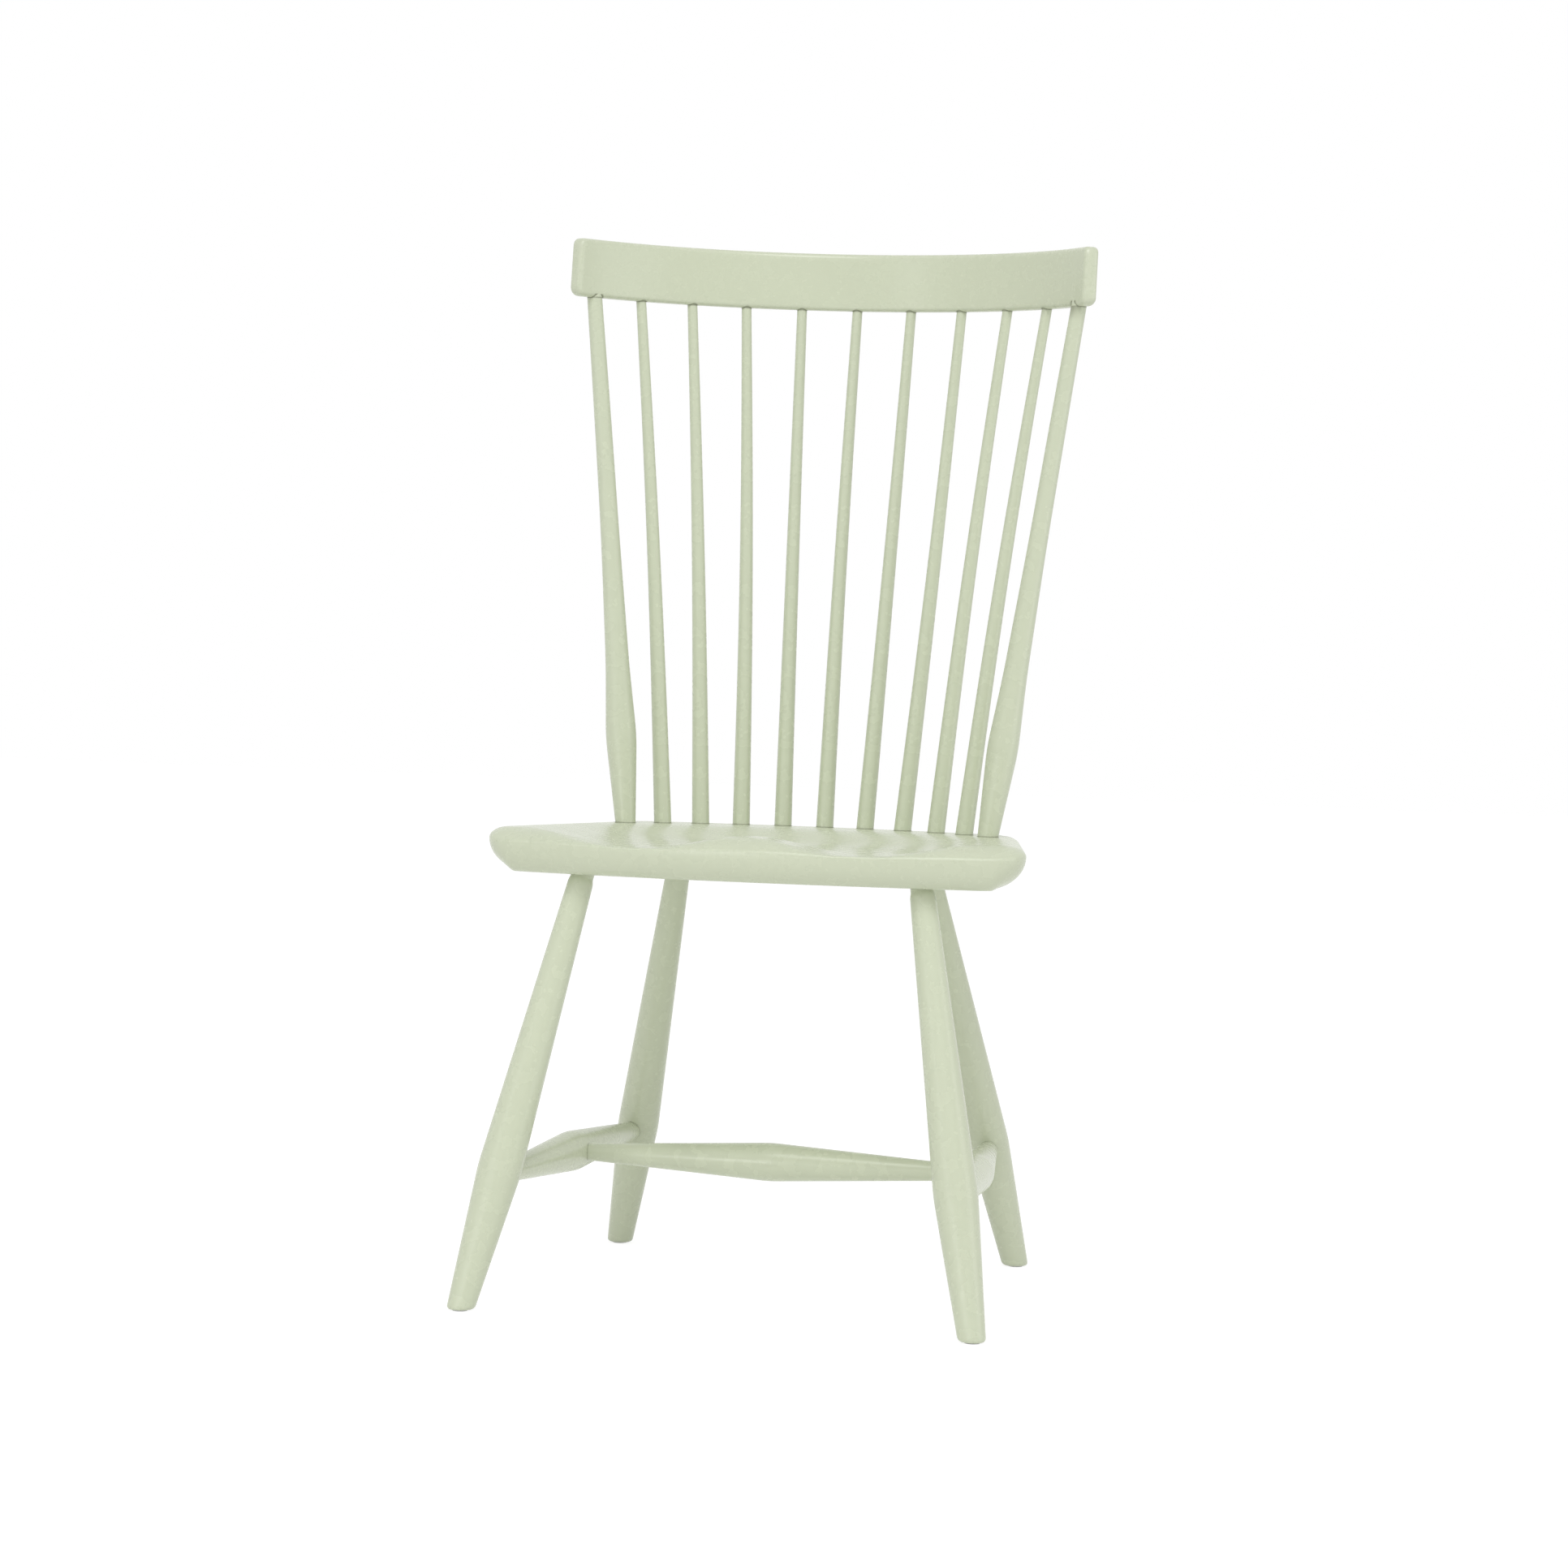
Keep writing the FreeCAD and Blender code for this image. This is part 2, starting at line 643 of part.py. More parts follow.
def crest_plan(body):
    plan = new_sketch(body, "crest_plan", "XY_Plane")
    centre = Vector(0, size("crest_arc_centre"), 0)
    half = math.radians(size("crest_end_angle"))
    arcs = []
    for offset in (-size("crest_thickness") / 2, size("crest_thickness") / 2):
        circle = Part.Circle(centre, UP, size("crest_arc_radius") + offset)
        arcs.append(Part.ArcOfCircle(circle, QUARTER_TURN - half, QUARTER_TURN + half))
    inner, outer = arcs
    plan.addGeometry(inner, False)
    plan.addGeometry(outer, False)
    plan.addGeometry(Part.LineSegment(inner.StartPoint, outer.StartPoint), False)
    plan.addGeometry(Part.LineSegment(inner.EndPoint, outer.EndPoint), False)
    join_ends(plan, [(0, 1, 2, 1), (1, 1, 2, 2), (0, 2, 3, 1), (1, 2, 3, 2), (0, 3, 1, 3)])
    plan.addConstraint(Sketcher.Constraint("PointOnObject", 0, 3, -2))
    plan.addConstraint(Sketcher.Constraint("Symmetric", 0, 1, 0, 2, -2))
    for end in (2, 3):
        plan.addConstraint(Sketcher.Constraint("PointOnObject", 0, 3, end))
    inner_radius = "(Dimensions.crest_arc_radius - Dimensions.crest_thickness / 2)"
    drive(plan, "Radius", (0,), inner_radius, "inner_radius")
    drive(plan, "Radius", (1,), "Dimensions.crest_arc_radius + Dimensions.crest_thickness / 2",
          "outer_radius")
    drive(plan, "DistanceY", (0, 3, -1, 1), "0 - Dimensions.crest_arc_centre", "centre_depth")
    drive(plan, "DistanceX", (-1, 1, 0, 1), inner_radius + " * sin(Dimensions.crest_end_angle * 1 deg)",
          "end_half")
    return plan


def end_edges(shape, level):
    # The two short edges at the rail's ends that lie at this level.
    def is_end(box):
        return abs(box.ZMin - level) < NEAR and abs(box.ZMax - level) < NEAR \
            and box.XLength < size("crest_thickness")
    return edges_where(shape, is_end)


def broad_face_edges(shape):
    # The borders of the rail's front and back.
    broad = sorted(shape.Faces, key=lambda face: face.Area)[-2:]
    borders = [edge for face in broad for edge in face.Edges]
    return ["Edge%d" % i for i, edge in enumerate(shape.Edges, start=1)
            if any(edge.isSame(border) for border in borders)]


def build_crest():
    # A bent rail of even section that leans back as it rises, with every edge eased.
    body = doc.addObject("PartDesign::Body", "crest_blank")
    rail = body.newObject("PartDesign::Pad", "crest_band")
    rail.Profile = crest_plan(body)
    rail.UseCustomVector = True
    rail.Direction = Vector(0, math.tan(math.radians(size("crest_lean"))), 1)
    rail.AlongSketchNormal = True
    rail.setExpression("Length", cell("crest_height"))
    rail.recompute(True)
    last = rail
    for which, level in (("top", size("crest_height")), ("low", 0.0)):
        last = fillet(body, which + "_corners", end_edges(last.Shape, level), "crest_%s_corner" % which)
    fillet(body, "crest_arrises", broad_face_edges(last.Shape), "crest_round")
    body.Placement = Placement(Vector(0, 0, size("crest_bottom")), Rotation())
    tools = []
    for place in range(-POST_PLACE, POST_PLACE + 1):
        base, top, along = stick_line(place)
        tenon = "post_tenon_radius" if abs(place) == POST_PLACE else "stick_crest_radius"
        bottom = top + along * size("stick_crest_socket")
        tools.append(socket("crest_socket_%d" % (place + MIDDLE_STICK), top, bottom, tenon))
    for name, side in POSTS.items():
        inner, head, outward = pin_line(side)
        tools.append(socket(name + "_rail_pin_bore", head, inner, "pin_radius"))
    return cut_away("crest_rail", body, tools)


def build_pins():
    pins = []
    for name, side in POSTS.items():
        inner, head, outward = pin_line(side)
        pins.append(cylinder(name + "_pin", inner, head, cell("pin_radius")))
    group = doc.addObject("Part::Compound", "crest_pin_pair")
    group.Links = pins
    group.Label = "crest_pins"
    return group


def build_glide(name, which, side):
    foot = leg_line(which, side)[0]
    body = turned_body(name + "_turned", [
        ("0", "Dimensions.glide_radius - Dimensions.glide_bevel"),
        ("Dimensions.glide_height - Dimensions.glide_wall", cell("glide_radius")),
        ("Dimensions.glide_height", cell("glide_radius")),
        ("Dimensions.glide_height", cell("glide_nail_radius")),
        ("Dimensions.glide_height + Dimensions.glide_nail_length", cell("glide_nail_radius")),
    ])
    body.Placement = Placement(foot, Rotation())
    body.Label = name
    return body


def build_chair():
    made = [build_seat()]
    for name, (which, side) in LEGS.items():
        made.append(build_leg(name, which, side))
    for name, side in SIDE_STRETCHERS.items():
        made.append(build_side_stretcher(name, side))
    made.append(build_centre_stretcher())
    for number in range(1, STICK_COUNT + 1):
        made.append(build_stick(number))
    for name, side in POSTS.items():
        made.append(build_post(name, side))
    made.append(build_crest())
    made.append(build_pins())
    for name, (which, side) in LEGS.items():
        made.append(build_glide(name.replace("leg", "glide"), which, side))
    return made


add_cells(DIMENSIONS, 1)
add_cells(derived_lengths(), len(DIMENSIONS) + 1)
pieces = build_chair()
doc.recompute()

for thing in doc.Objects:
    if "Invalid" in thing.State or "Error" in thing.State:
        raise RuntimeError("%s failed: %s" % (thing.Name, thing.State))
for piece in pieces:
    if piece.Shape.isNull() or not piece.Shape.isValid():
        raise RuntimeError(piece.Label + " has no valid shape")

os.makedirs("parts", exist_ok=True)
for piece in pieces:
    piece.Shape.exportStep("parts/%s.step" % piece.Label)
    print(piece.Label, len(piece.Shape.Solids), "solid", round(piece.Shape.Volume), "mm3")
print("nodes", len(pieces))
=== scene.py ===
import math

import bpy
import numpy as np
from bpy.props import FloatProperty, FloatVectorProperty, IntProperty, PointerProperty
from bpy.types import Operator, Panel, PropertyGroup
from mathutils import Matrix, Vector


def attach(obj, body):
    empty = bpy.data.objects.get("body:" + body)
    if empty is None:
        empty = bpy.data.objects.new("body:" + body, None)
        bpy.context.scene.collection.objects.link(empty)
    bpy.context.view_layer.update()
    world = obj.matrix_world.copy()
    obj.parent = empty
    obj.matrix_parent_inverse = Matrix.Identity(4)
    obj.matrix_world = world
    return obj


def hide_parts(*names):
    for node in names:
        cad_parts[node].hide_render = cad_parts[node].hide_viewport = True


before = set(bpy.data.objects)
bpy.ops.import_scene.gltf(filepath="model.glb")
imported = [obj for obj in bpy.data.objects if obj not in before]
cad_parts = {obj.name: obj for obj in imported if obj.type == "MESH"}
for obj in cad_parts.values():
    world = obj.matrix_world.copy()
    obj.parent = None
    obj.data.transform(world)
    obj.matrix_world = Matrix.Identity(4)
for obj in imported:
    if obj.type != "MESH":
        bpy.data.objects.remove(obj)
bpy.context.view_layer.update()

bl_info = {
    "name": "Windsor Chair",
    "version": (1, 0, 0),
    "blender": (4, 5, 0),
    "location": "View3D > Sidebar > Chair",
    "description": "Builds a painted high-backed Windsor side chair round its packed frame",
    "category": "Object",
}

ROOT = "root"
MM = 0.001
# Names of the point attributes that the paint reads.
WOOD_PLACE = "wood_place"
# SEAM marks the dark joint lines, with painted shade, where pieces meet; RIM marks where a painted highlight
# is laid along rims and ridges.
SEAM = "seam"
RIM = "rim"

LEGS = {
    "front_left_leg": ("front", 1),
    "front_right_leg": ("front", -1),
    "rear_left_leg": ("rear", 1),
    "rear_right_leg": ("rear", -1),
}
SIDE_STRETCHERS = {"left_side_stretcher": 1, "right_side_stretcher": -1}
POSTS = {"left_back_post": 1, "right_back_post": -1}
# Sticks are numbered from the sitter's right, and the posts take the next place at each end.
STICK_COUNT = 9
MIDDLE_STICK = 5
LAST_STICK = 4
POST_PLACE = 5
# How far the dark of a seam, a dark joint line with painted shade, reaches either side of it on turned
# pieces.
SEAM_REACH = 0.0013
UPRIGHT_SEAM_REACH = 0.0012
# How far from the axis of the leg a stretcher comes out of it.
STRETCHER_SHOWN = 0.0205


# Sizes and colours that a user would change.


def length(label, about, millimetres):
    return FloatProperty(name=label, description=about, default=millimetres * MM, unit="LENGTH",
                         precision=4)


def turn(label, about, degrees):
    return FloatProperty(name=label, description=about, default=math.radians(degrees),
                         unit="ROTATION")


def tint(label, about, colour):
    return FloatVectorProperty(name=label, description=about, default=colour, size=3,
                               subtype="COLOR", min=0.0, max=1.0)


def power(label, about, watts):
    return FloatProperty(name=label, description=about, default=watts, unit="POWER")


def share(label, about, value):
    return FloatProperty(name=label, description=about, default=value, subtype="FACTOR",
                         min=0.0, max=1.0)


class ChairSeatSizes(PropertyGroup):
    """The plank, measured in its own plane before it is pitched back"""

    thickness: length("Thickness", "Thickness of the plank", 42.0)
    front: length("Front", "From the chair's middle to the front edge", 225.0)
    rear: length("Rear", "From the chair's middle to the rear edge", 214.0)
    front_bow: length("Front bow", "Radius of the front edge in plan", 800.0)
    rear_bow: length("Rear bow", "Radius of the rear edge in plan", 560.0)
    front_half: length("Front half width", "Half the width between the front corners", 264.0)
    rear_half: length("Rear half width", "Half the width between the rear corners", 202.0)
    front_corner: length("Front corner", "Radius of the front corners in plan", 36.0)
    rear_corner: length("Rear corner", "Radius of the rear corners in plan", 75.0)
    pitch: turn("Pitch", "How far the seat tips back", 1.0)
    deck_height: length("Deck height", "Height of the flat of the seat above the floor", 442.7)
    deck_depth: length("Deck depth", "Where along the seat that height is taken", 128.0)
    hollow: length("Hollow", "Depth of the scooped hollow", 14.5)
    hollow_half: length("Hollow half width", "Half the width of the hollow", 220.0)
    hollow_rise: length("Hollow rise", "How much the hollow rises towards the front edge", 2.0)
    pommel_half: length("Pommel half width", "Half the width of the ridge between the thighs", 93.0)
    roll: length("Front roll", "Radius at which the front edge rolls down", 52.0)
    roll_setback: length("Front roll setback", "From the front edge in to the centre of the roll", 34.0)
    roll_sink: length("Front roll sink", "Depth of the centre of the roll", 51.7)
    nose: length("Front nose", "Rounding where the roll meets the front face", 4.0)
    side_width: length("Side rounding", "How far in the sides round over on top", 17.0)
    rear_width: length("Rear rounding", "How far in the rear rounds over on top", 26.0)
    top_round: length("Top rounding", "How far down the sides and rear round over", 10.0)
    front_under: length("Front under rounding", "How far in the front rounds under", 15.0)
    side_under: length("Side under rounding", "How far in the sides round under", 40.0)
    under_height: length("Under rounding height", "Height of the rounding underneath", 32.0)


class ChairLegSizes(PropertyGroup):
    """Legs: each axis runs from a point on the floor to a point at the rake height"""

    rake_height: length("Rake height", "Height at which the upper points are taken", 413.0)
    front_foot_half: length("Front foot half spacing", "Front feet from the middle", 242.3)
    front_foot_depth: length("Front foot depth", "Front feet along the chair", -278.6)
    front_top_half: length("Front top half spacing", "Front legs at the rake height", 162.3)
    front_top_depth: length("Front top depth", "Front legs along the chair", -166.6)
    rear_foot_half: length("Rear foot half spacing", "Rear feet from the middle", 208.5)
    rear_foot_depth: length("Rear foot depth", "Rear feet along the chair", 200.8)
    rear_top_half: length("Rear top half spacing", "Rear legs at the rake height", 125.7)
    rear_top_depth: length("Rear top depth", "Rear legs along the chair", 75.0)
    foot_radius: length("Foot radius", "Radius at the floor", 12.8)
    ridge_radius: length("Ridge radius", "Radius where the leg is thickest", 20.9)
    ridge_height: length("Ridge height", "Height of the thickest place", 129.3)
    top_radius: length("Top radius", "Radius under the seat", 12.1)
    neck_radius: length("Neck radius", "Radius where the leg enters the seat", 10.9)
    foot_rim: length("Foot rim", "Rounding of the rim of the foot", 4.5)
    foot_lift: length("Foot lift", "Height of the glide under the foot", 1.0)


class ChairStretcherSizes(PropertyGroup):
    """Stretchers of the H brace"""

    height: length("Height", "Height of the brace above the floor", 124.0)
    end_radius: length("Side end radius", "Radius of the side stretchers at the legs", 9.3)
    bulge_radius: length("Side bulge radius", "Radius of the side stretchers' middles", 19.8)
    centre_end_radius: length("Centre end radius", "Radius of the centre stretcher's ends", 8.4)
    centre_bulge_radius: length("Centre bulge radius", "Radius of its middle", 18.9)


class ChairBackSizes(PropertyGroup):
    """The fan of sticks and posts between the seat and the rail"""

    seat_centre: length("Seat arc centre", "Centre of the arc of stick feet", -39.4)
    seat_radius: length("Seat arc radius", "Radius of the arc of stick feet", 220.4)
    seat_step: turn("Seat step", "Turn from one stick foot to the next", 11.19)
    seat_post: turn("Seat post turn", "Turn of the post's foot", 57.1)
    rail_centre: length("Rail arc centre", "Centre of the arc of the rail", -35.8)
    rail_radius: length("Rail arc radius", "Radius of the arc of the rail", 310.1)
    rail_step: turn("Rail step", "Turn from one stick top to the next", 10.74)
    rail_post: turn("Rail post turn", "Turn of the post's top", 53.65)
    rail_bottom: length("Rail bottom", "Height of the rail's lower edge", 976.2)
    stick_foot: length("Stick foot radius", "Radius of a stick at the seat", 8.87)
    stick_top: length("Stick top radius", "Radius of a stick at the rail", 5.1)
    post_foot: length("Post foot radius", "Radius of a post at the seat", 10.3)
    post_bulb: length("Post bulb radius", "Radius of a post's bulb", 15.7)
    post_shank: length("Post shank radius", "Radius of a post above its bulb", 12.0)
    post_middle: length("Post middle radius", "Radius of a post half way up", 9.4)
    post_top: length("Post top radius", "Radius of a post under the rail", 7.7)


class ChairRailSizes(PropertyGroup):
    """The bent crest rail"""

    height: length("Height", "Height of the rail's section", 59.5)
    thickness: length("Thickness", "Thickness of the rail's section", 15.0)
    right_turn: turn("Right turn", "From the middle of the rail to the sitter's right end", 59.0)
    left_turn: turn("Left turn", "From the middle of the rail to the sitter's left end", 58.2)
    droop: length("Droop", "How much lower the sitter's left end sits than the right", 2.5)
    lean: turn("Lean", "How far the rail leans back", 8.5)
    arris: length("Arris", "Rounding of the long edges", 4.5)
    top_corner: length("Top corner", "Rounding of the upper corners from the front", 6.5)
    low_corner: length("Low corner", "Rounding of the lower corners from the front", 10.0)


class ChairPaint(PropertyGroup):
    """Colours and gloss of the finishes"""

    colour: tint("Paint", "Colour of the paint", (0.60, 0.645, 0.485))
    # A lighter colour laid along rims and ridges as a painted highlight.
    for_highlight: tint("Thin paint", "Colour where the paint is worn thin", (0.66, 0.68, 0.56))
    # Dark colour of the grain, and of the seams: a dark joint line with painted shade where pieces meet.
    grain_and_seam_shade: tint("Seam", "Colour in the seams between pieces", (0.13, 0.14, 0.075))
    roughness: share("Roughness", "Roughness of the satin paint", 0.27)
    steel: tint("Steel", "Colour of the pins", (0.55, 0.55, 0.53))
    plastic: tint("Plastic", "Colour of the glides", (0.62, 0.62, 0.60))


class ChairStage(PropertyGroup):
    """Floor, light and camera"""

    floor: tint("Floor", "Colour of the floor", (0.97, 0.97, 0.97))
    sky: share("Room light", "Strength of the light from all round", 0.58)
    top: power("Top", "Power of the light overhead", 205.0)
    key: power("Key", "Power of the key light", 16.0)
    fill: power("Fill", "Power of the fill light", 26.0)
    low: power("Low", "Power of the low light", 0.64)
    lens: FloatProperty(name="Lens", description="Focal length on a 36 mm sensor", default=98.13)
    sides: IntProperty(name="Sides", description="Facets round a turned piece", default=64)


SETTINGS = {
    "chair_seat": ChairSeatSizes,
    "chair_legs": ChairLegSizes,
    "chair_stretchers": ChairStretcherSizes,
    "chair_back": ChairBackSizes,
    "chair_rail": ChairRailSizes,
    "chair_paint": ChairPaint,
    "chair_stage": ChairStage,
}


# Points and directions of the chair.


def deck_height_at(context, y, up=0.0):
    seat = context.scene.chair_seat
    return seat.deck_height - (y - seat.deck_depth) * math.tan(seat.pitch) + up / math.cos(seat.pitch)


def above_deck(context, points):
    """How far points lie above the plane of the seat's top"""
    seat = context.scene.chair_seat
    return ((points[:, 2] - seat.deck_height) * math.cos(seat.pitch)
            + (points[:, 1] - seat.deck_depth) * math.sin(seat.pitch))


def arc_point(centre, radius, angle, height):
    return Vector((radius * math.sin(angle), centre + radius * math.cos(angle), height))


def stick_line(context, place):
    """The points on the deck and under the rail; place 0 is the middle stick"""
    back = context.scene.chair_back
    if abs(place) == POST_PLACE:
        side = place / POST_PLACE
        low, high = side * back.seat_post, side * back.rail_post
    else:
        low, high = place * back.seat_step, place * back.rail_step
    base = arc_point(back.seat_centre, back.seat_radius, low, 0)
    base.z = deck_height_at(context, base.y)
    return base, arc_point(back.rail_centre, back.rail_radius, high, back.rail_bottom)


def leg_line(context, which, side):
    """The foot point on the floor, and the step along the axis for a rise of one"""
    legs = context.scene.chair_legs
    foot = Vector((side * getattr(legs, which + "_foot_half"), getattr(legs, which + "_foot_depth"), 0))
    top = Vector((side * getattr(legs, which + "_top_half"), getattr(legs, which + "_top_depth"),
                  legs.rake_height))
    return foot, (top - foot) / legs.rake_height


def leg_point(context, which, side, height):
    foot, slope = leg_line(context, which, side)
    return foot + slope * height


def seat_entry(context, which, side):
    """Where the leg's axis meets the underside of the plank"""
    height = context.scene.chair_legs.rake_height
    for _ in range(5):
        y = leg_point(context, which, side, height).y
        height = deck_height_at(context, y, -context.scene.chair_seat.thickness)
    return leg_point(context, which, side, height)


def side_joints(context, side):
    height = context.scene.chair_stretchers.height
    return leg_point(context, "front", side, height), leg_point(context, "rear", side, height)


# Ways of making a piece.


def soft_profile(corners, longest):
    """Rings of a turned piece as (distance, radius); corners are (distance, radius, softness)"""
    points = [np.array(corners[0][:2])]
    for before, corner, after in zip(corners, corners[1:], corners[2:]):
        place = np.array(corner[:2])
        reach = corner[2]
        if reach == 0:
            points.append(place)
            continue
        back = np.array(before[:2]) - place
        ahead = np.array(after[:2]) - place
        back = place + back * min(reach / np.linalg.norm(back), 0.49)
        ahead = place + ahead * min(reach / np.linalg.norm(ahead), 0.49)
        for step in np.linspace(0, 1, 9):
            points.append((1 - step) ** 2 * back + 2 * (1 - step) * step * place + step**2 * ahead)
    points.append(np.array(corners[-1][:2]))
    filled = [points[0]]
    for start, end in zip(points, points[1:]):
        count = max(1, math.ceil((end[0] - start[0]) / longest))
        filled += [start + (end - start) * i / count for i in range(1, count + 1)]
    return np.array(filled)


def with_close_rings(profile, spans, step):
    """Adds rings a short step apart inside each span, where a seam has to be drawn finely"""
    places = set(np.round(profile[:, 0], 7))
    for low, high in spans:
        places |= set(np.round(np.arange(low, high, step), 7))
    places = np.array(sorted(places))
    return np.column_stack([places, np.interp(places, profile[:, 0], profile[:, 1])])


def circle_across(along, sides):
    """Points of a unit circle square to an axis, and the same circle in its own plane"""
    one = along.cross(Vector((0, 1, 0))).normalized()
    two = along.cross(one).normalized()
    angles = np.arange(sides) * 2 * math.pi / sides
    flat = np.column_stack([np.cos(angles), np.sin(angles)])
    return np.outer(flat[:, 0], one) + np.outer(flat[:, 1], two), flat


def skin(name, rings, places):
    """A closed mesh through rings of points, from one end's middle to the other's"""
    count, sides = rings.shape[:2]
    points = np.vstack([rings.reshape(-1, 3), rings[0].mean(0), rings[-1].mean(0)])
    places = np.vstack([places.reshape(-1, 3), places[0].mean(0), places[-1].mean(0)])
    faces = []
    for ring in range(count - 1):
        low, high = ring * sides, (ring + 1) * sides
        for i in range(sides):
            j = (i + 1) % sides
            faces.append((low + i, low + j, high + j, high + i))
    first, last = count * sides, count * sides + 1
    end = (count - 1) * sides
    for i in range(sides):
        j = (i + 1) % sides
        faces.append((first, j, i))
        faces.append((last, end + i, end + j))
    mesh = bpy.data.meshes.new(name)
    mesh.from_pydata(points.tolist(), [], faces)
    mesh.shade_smooth()
    stored = mesh.attributes.new(WOOD_PLACE, "FLOAT_VECTOR", "POINT")
    stored.data.foreach_set("vector", places.ravel().astype(np.float32))
    return mesh


def mark(mesh, name, values):
    stored = mesh.attributes.new(name, "FLOAT", "POINT")
    stored.data.foreach_set("value", np.asarray(values, np.float32))


def vertex_points(mesh):
    points = np.zeros(len(mesh.vertices) * 3, np.float32)
    mesh.vertices.foreach_get("co", points)
    return points.reshape(-1, 3)


def seam_strength(gap, width):
    """1 in the seam, falling to 0 over the width either side of it"""
    return np.clip(1 - np.abs(gap) / width, 0, 1)


def ridge_highlight(distance, ridge):
    """How much painted highlight lies on the ridge of a turned piece"""
    most, reach = 0.35, 0.006
    return most * np.exp(-(((distance - ridge) / reach) ** 2))


def distance_to_axis(points, start, end):
    """Distance from an axis and place along it"""
    axis = np.array(end) - np.array(start)
    span = np.linalg.norm(axis)
    axis /= span
    offset = points - np.array(start)
    along = offset @ axis
    return np.linalg.norm(offset - along[:, None] * axis, axis=1), along


def turned_rings(start, along, profile, sides, bend=None):
    """Rings round an axis, and each point's place in the piece's own wood"""
    circle, flat = circle_across(along, sides)
    rings, places = [], []
    for distance, radius in profile:
        middle = np.array(start) + np.array(along) * distance
        if bend:
            middle = middle + bend(distance)
        rings.append(middle + circle * radius)
        places.append(np.column_stack([flat * radius, np.full(sides, distance)]))
    return np.array(rings), np.array(places)


def add_piece(context, mesh, node, material):
    """Puts a piece in the scene in place of its CAD node"""
    piece = bpy.data.objects.new("shaped_" + node, mesh)
    context.scene.collection.objects.link(piece)
    mesh.materials.append(material)
    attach(piece, ROOT)
    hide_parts(node)
    return piece


# Finishes.


def wire(tree, kind, settings=None, **inputs):
    """Adds a shader node; an input is a plain value or another node's output"""
    made = tree.nodes.new(kind)
    for key, value in (settings or {}).items():
        setattr(made, key, value)
    for key, value in inputs.items():
        socket = made.inputs[int(key[1:])] if key[1:].isdigit() else made.inputs[key.replace("_", " ")]
        if isinstance(value, bpy.types.NodeSocket):
            tree.links.new(value, socket)
        else:
            socket.default_value = value
    return made


def stored(tree, name, kind):
    """A point attribute of the mesh"""
    return wire(tree, "ShaderNodeAttribute", {"attribute_name": name}).outputs[kind]


def calculate(tree, operation, one, two=0.0, three=0.0):
    made = wire(tree, "ShaderNodeMath", {"operation": operation}, i0=one, i1=two, i2=three)
    return made.outputs[0]


def times(tree, one, two):
    return calculate(tree, "MULTIPLY", one, two)


def plus(tree, one, two):
    return calculate(tree, "ADD", one, two)


def minus(tree, one, two):
    return calculate(tree, "SUBTRACT", one, two)


def blend_colours(tree, amount, one, two):
    mixed = wire(tree, "ShaderNodeMix", {"data_type": "RGBA"}, Factor=amount, i6=one, i7=two)
    return mixed.outputs[2]


def add_bump(tree, shader, height, strength, distance):
    bump = wire(tree, "ShaderNodeBump", None, Strength=strength, Distance=distance, Height=height)
    tree.links.new(bump.outputs[0], shader.inputs["Normal"])


def empty_tree(owner):
    """The cleared node tree of a material or a world"""
    owner.use_nodes = True
    owner.node_tree.nodes.clear()
    return owner.node_tree


def finish_tree(tree, kind, result):
    output = tree.nodes.new(kind)
    tree.links.new(result, output.inputs["Surface"])


def new_material(name):
    material = bpy.data.materials.new(name)
    tree = empty_tree(material)
    shader = tree.nodes.new("ShaderNodeBsdfPrincipled")
    finish_tree(tree, "ShaderNodeOutputMaterial", shader.outputs[0])
    return material, tree, shader


def noise(tree, place, scale, detail=3.0, roughness=0.5):
    made = wire(tree, "ShaderNodeTexNoise", None, Vector=place, Scale=scale, Detail=detail,
                Roughness=roughness)
    return made.outputs[0]


def remap(tree, value, low, high, to_low, to_high):
    made = wire(tree, "ShaderNodeMapRange", None, Value=value, i1=low, i2=high, i3=to_low, i4=to_high)
    return made.outputs[0]


def rgba(colour, gain=1.0):
    return (colour[0] * gain, colour[1] * gain, colour[2] * gain, 1.0)


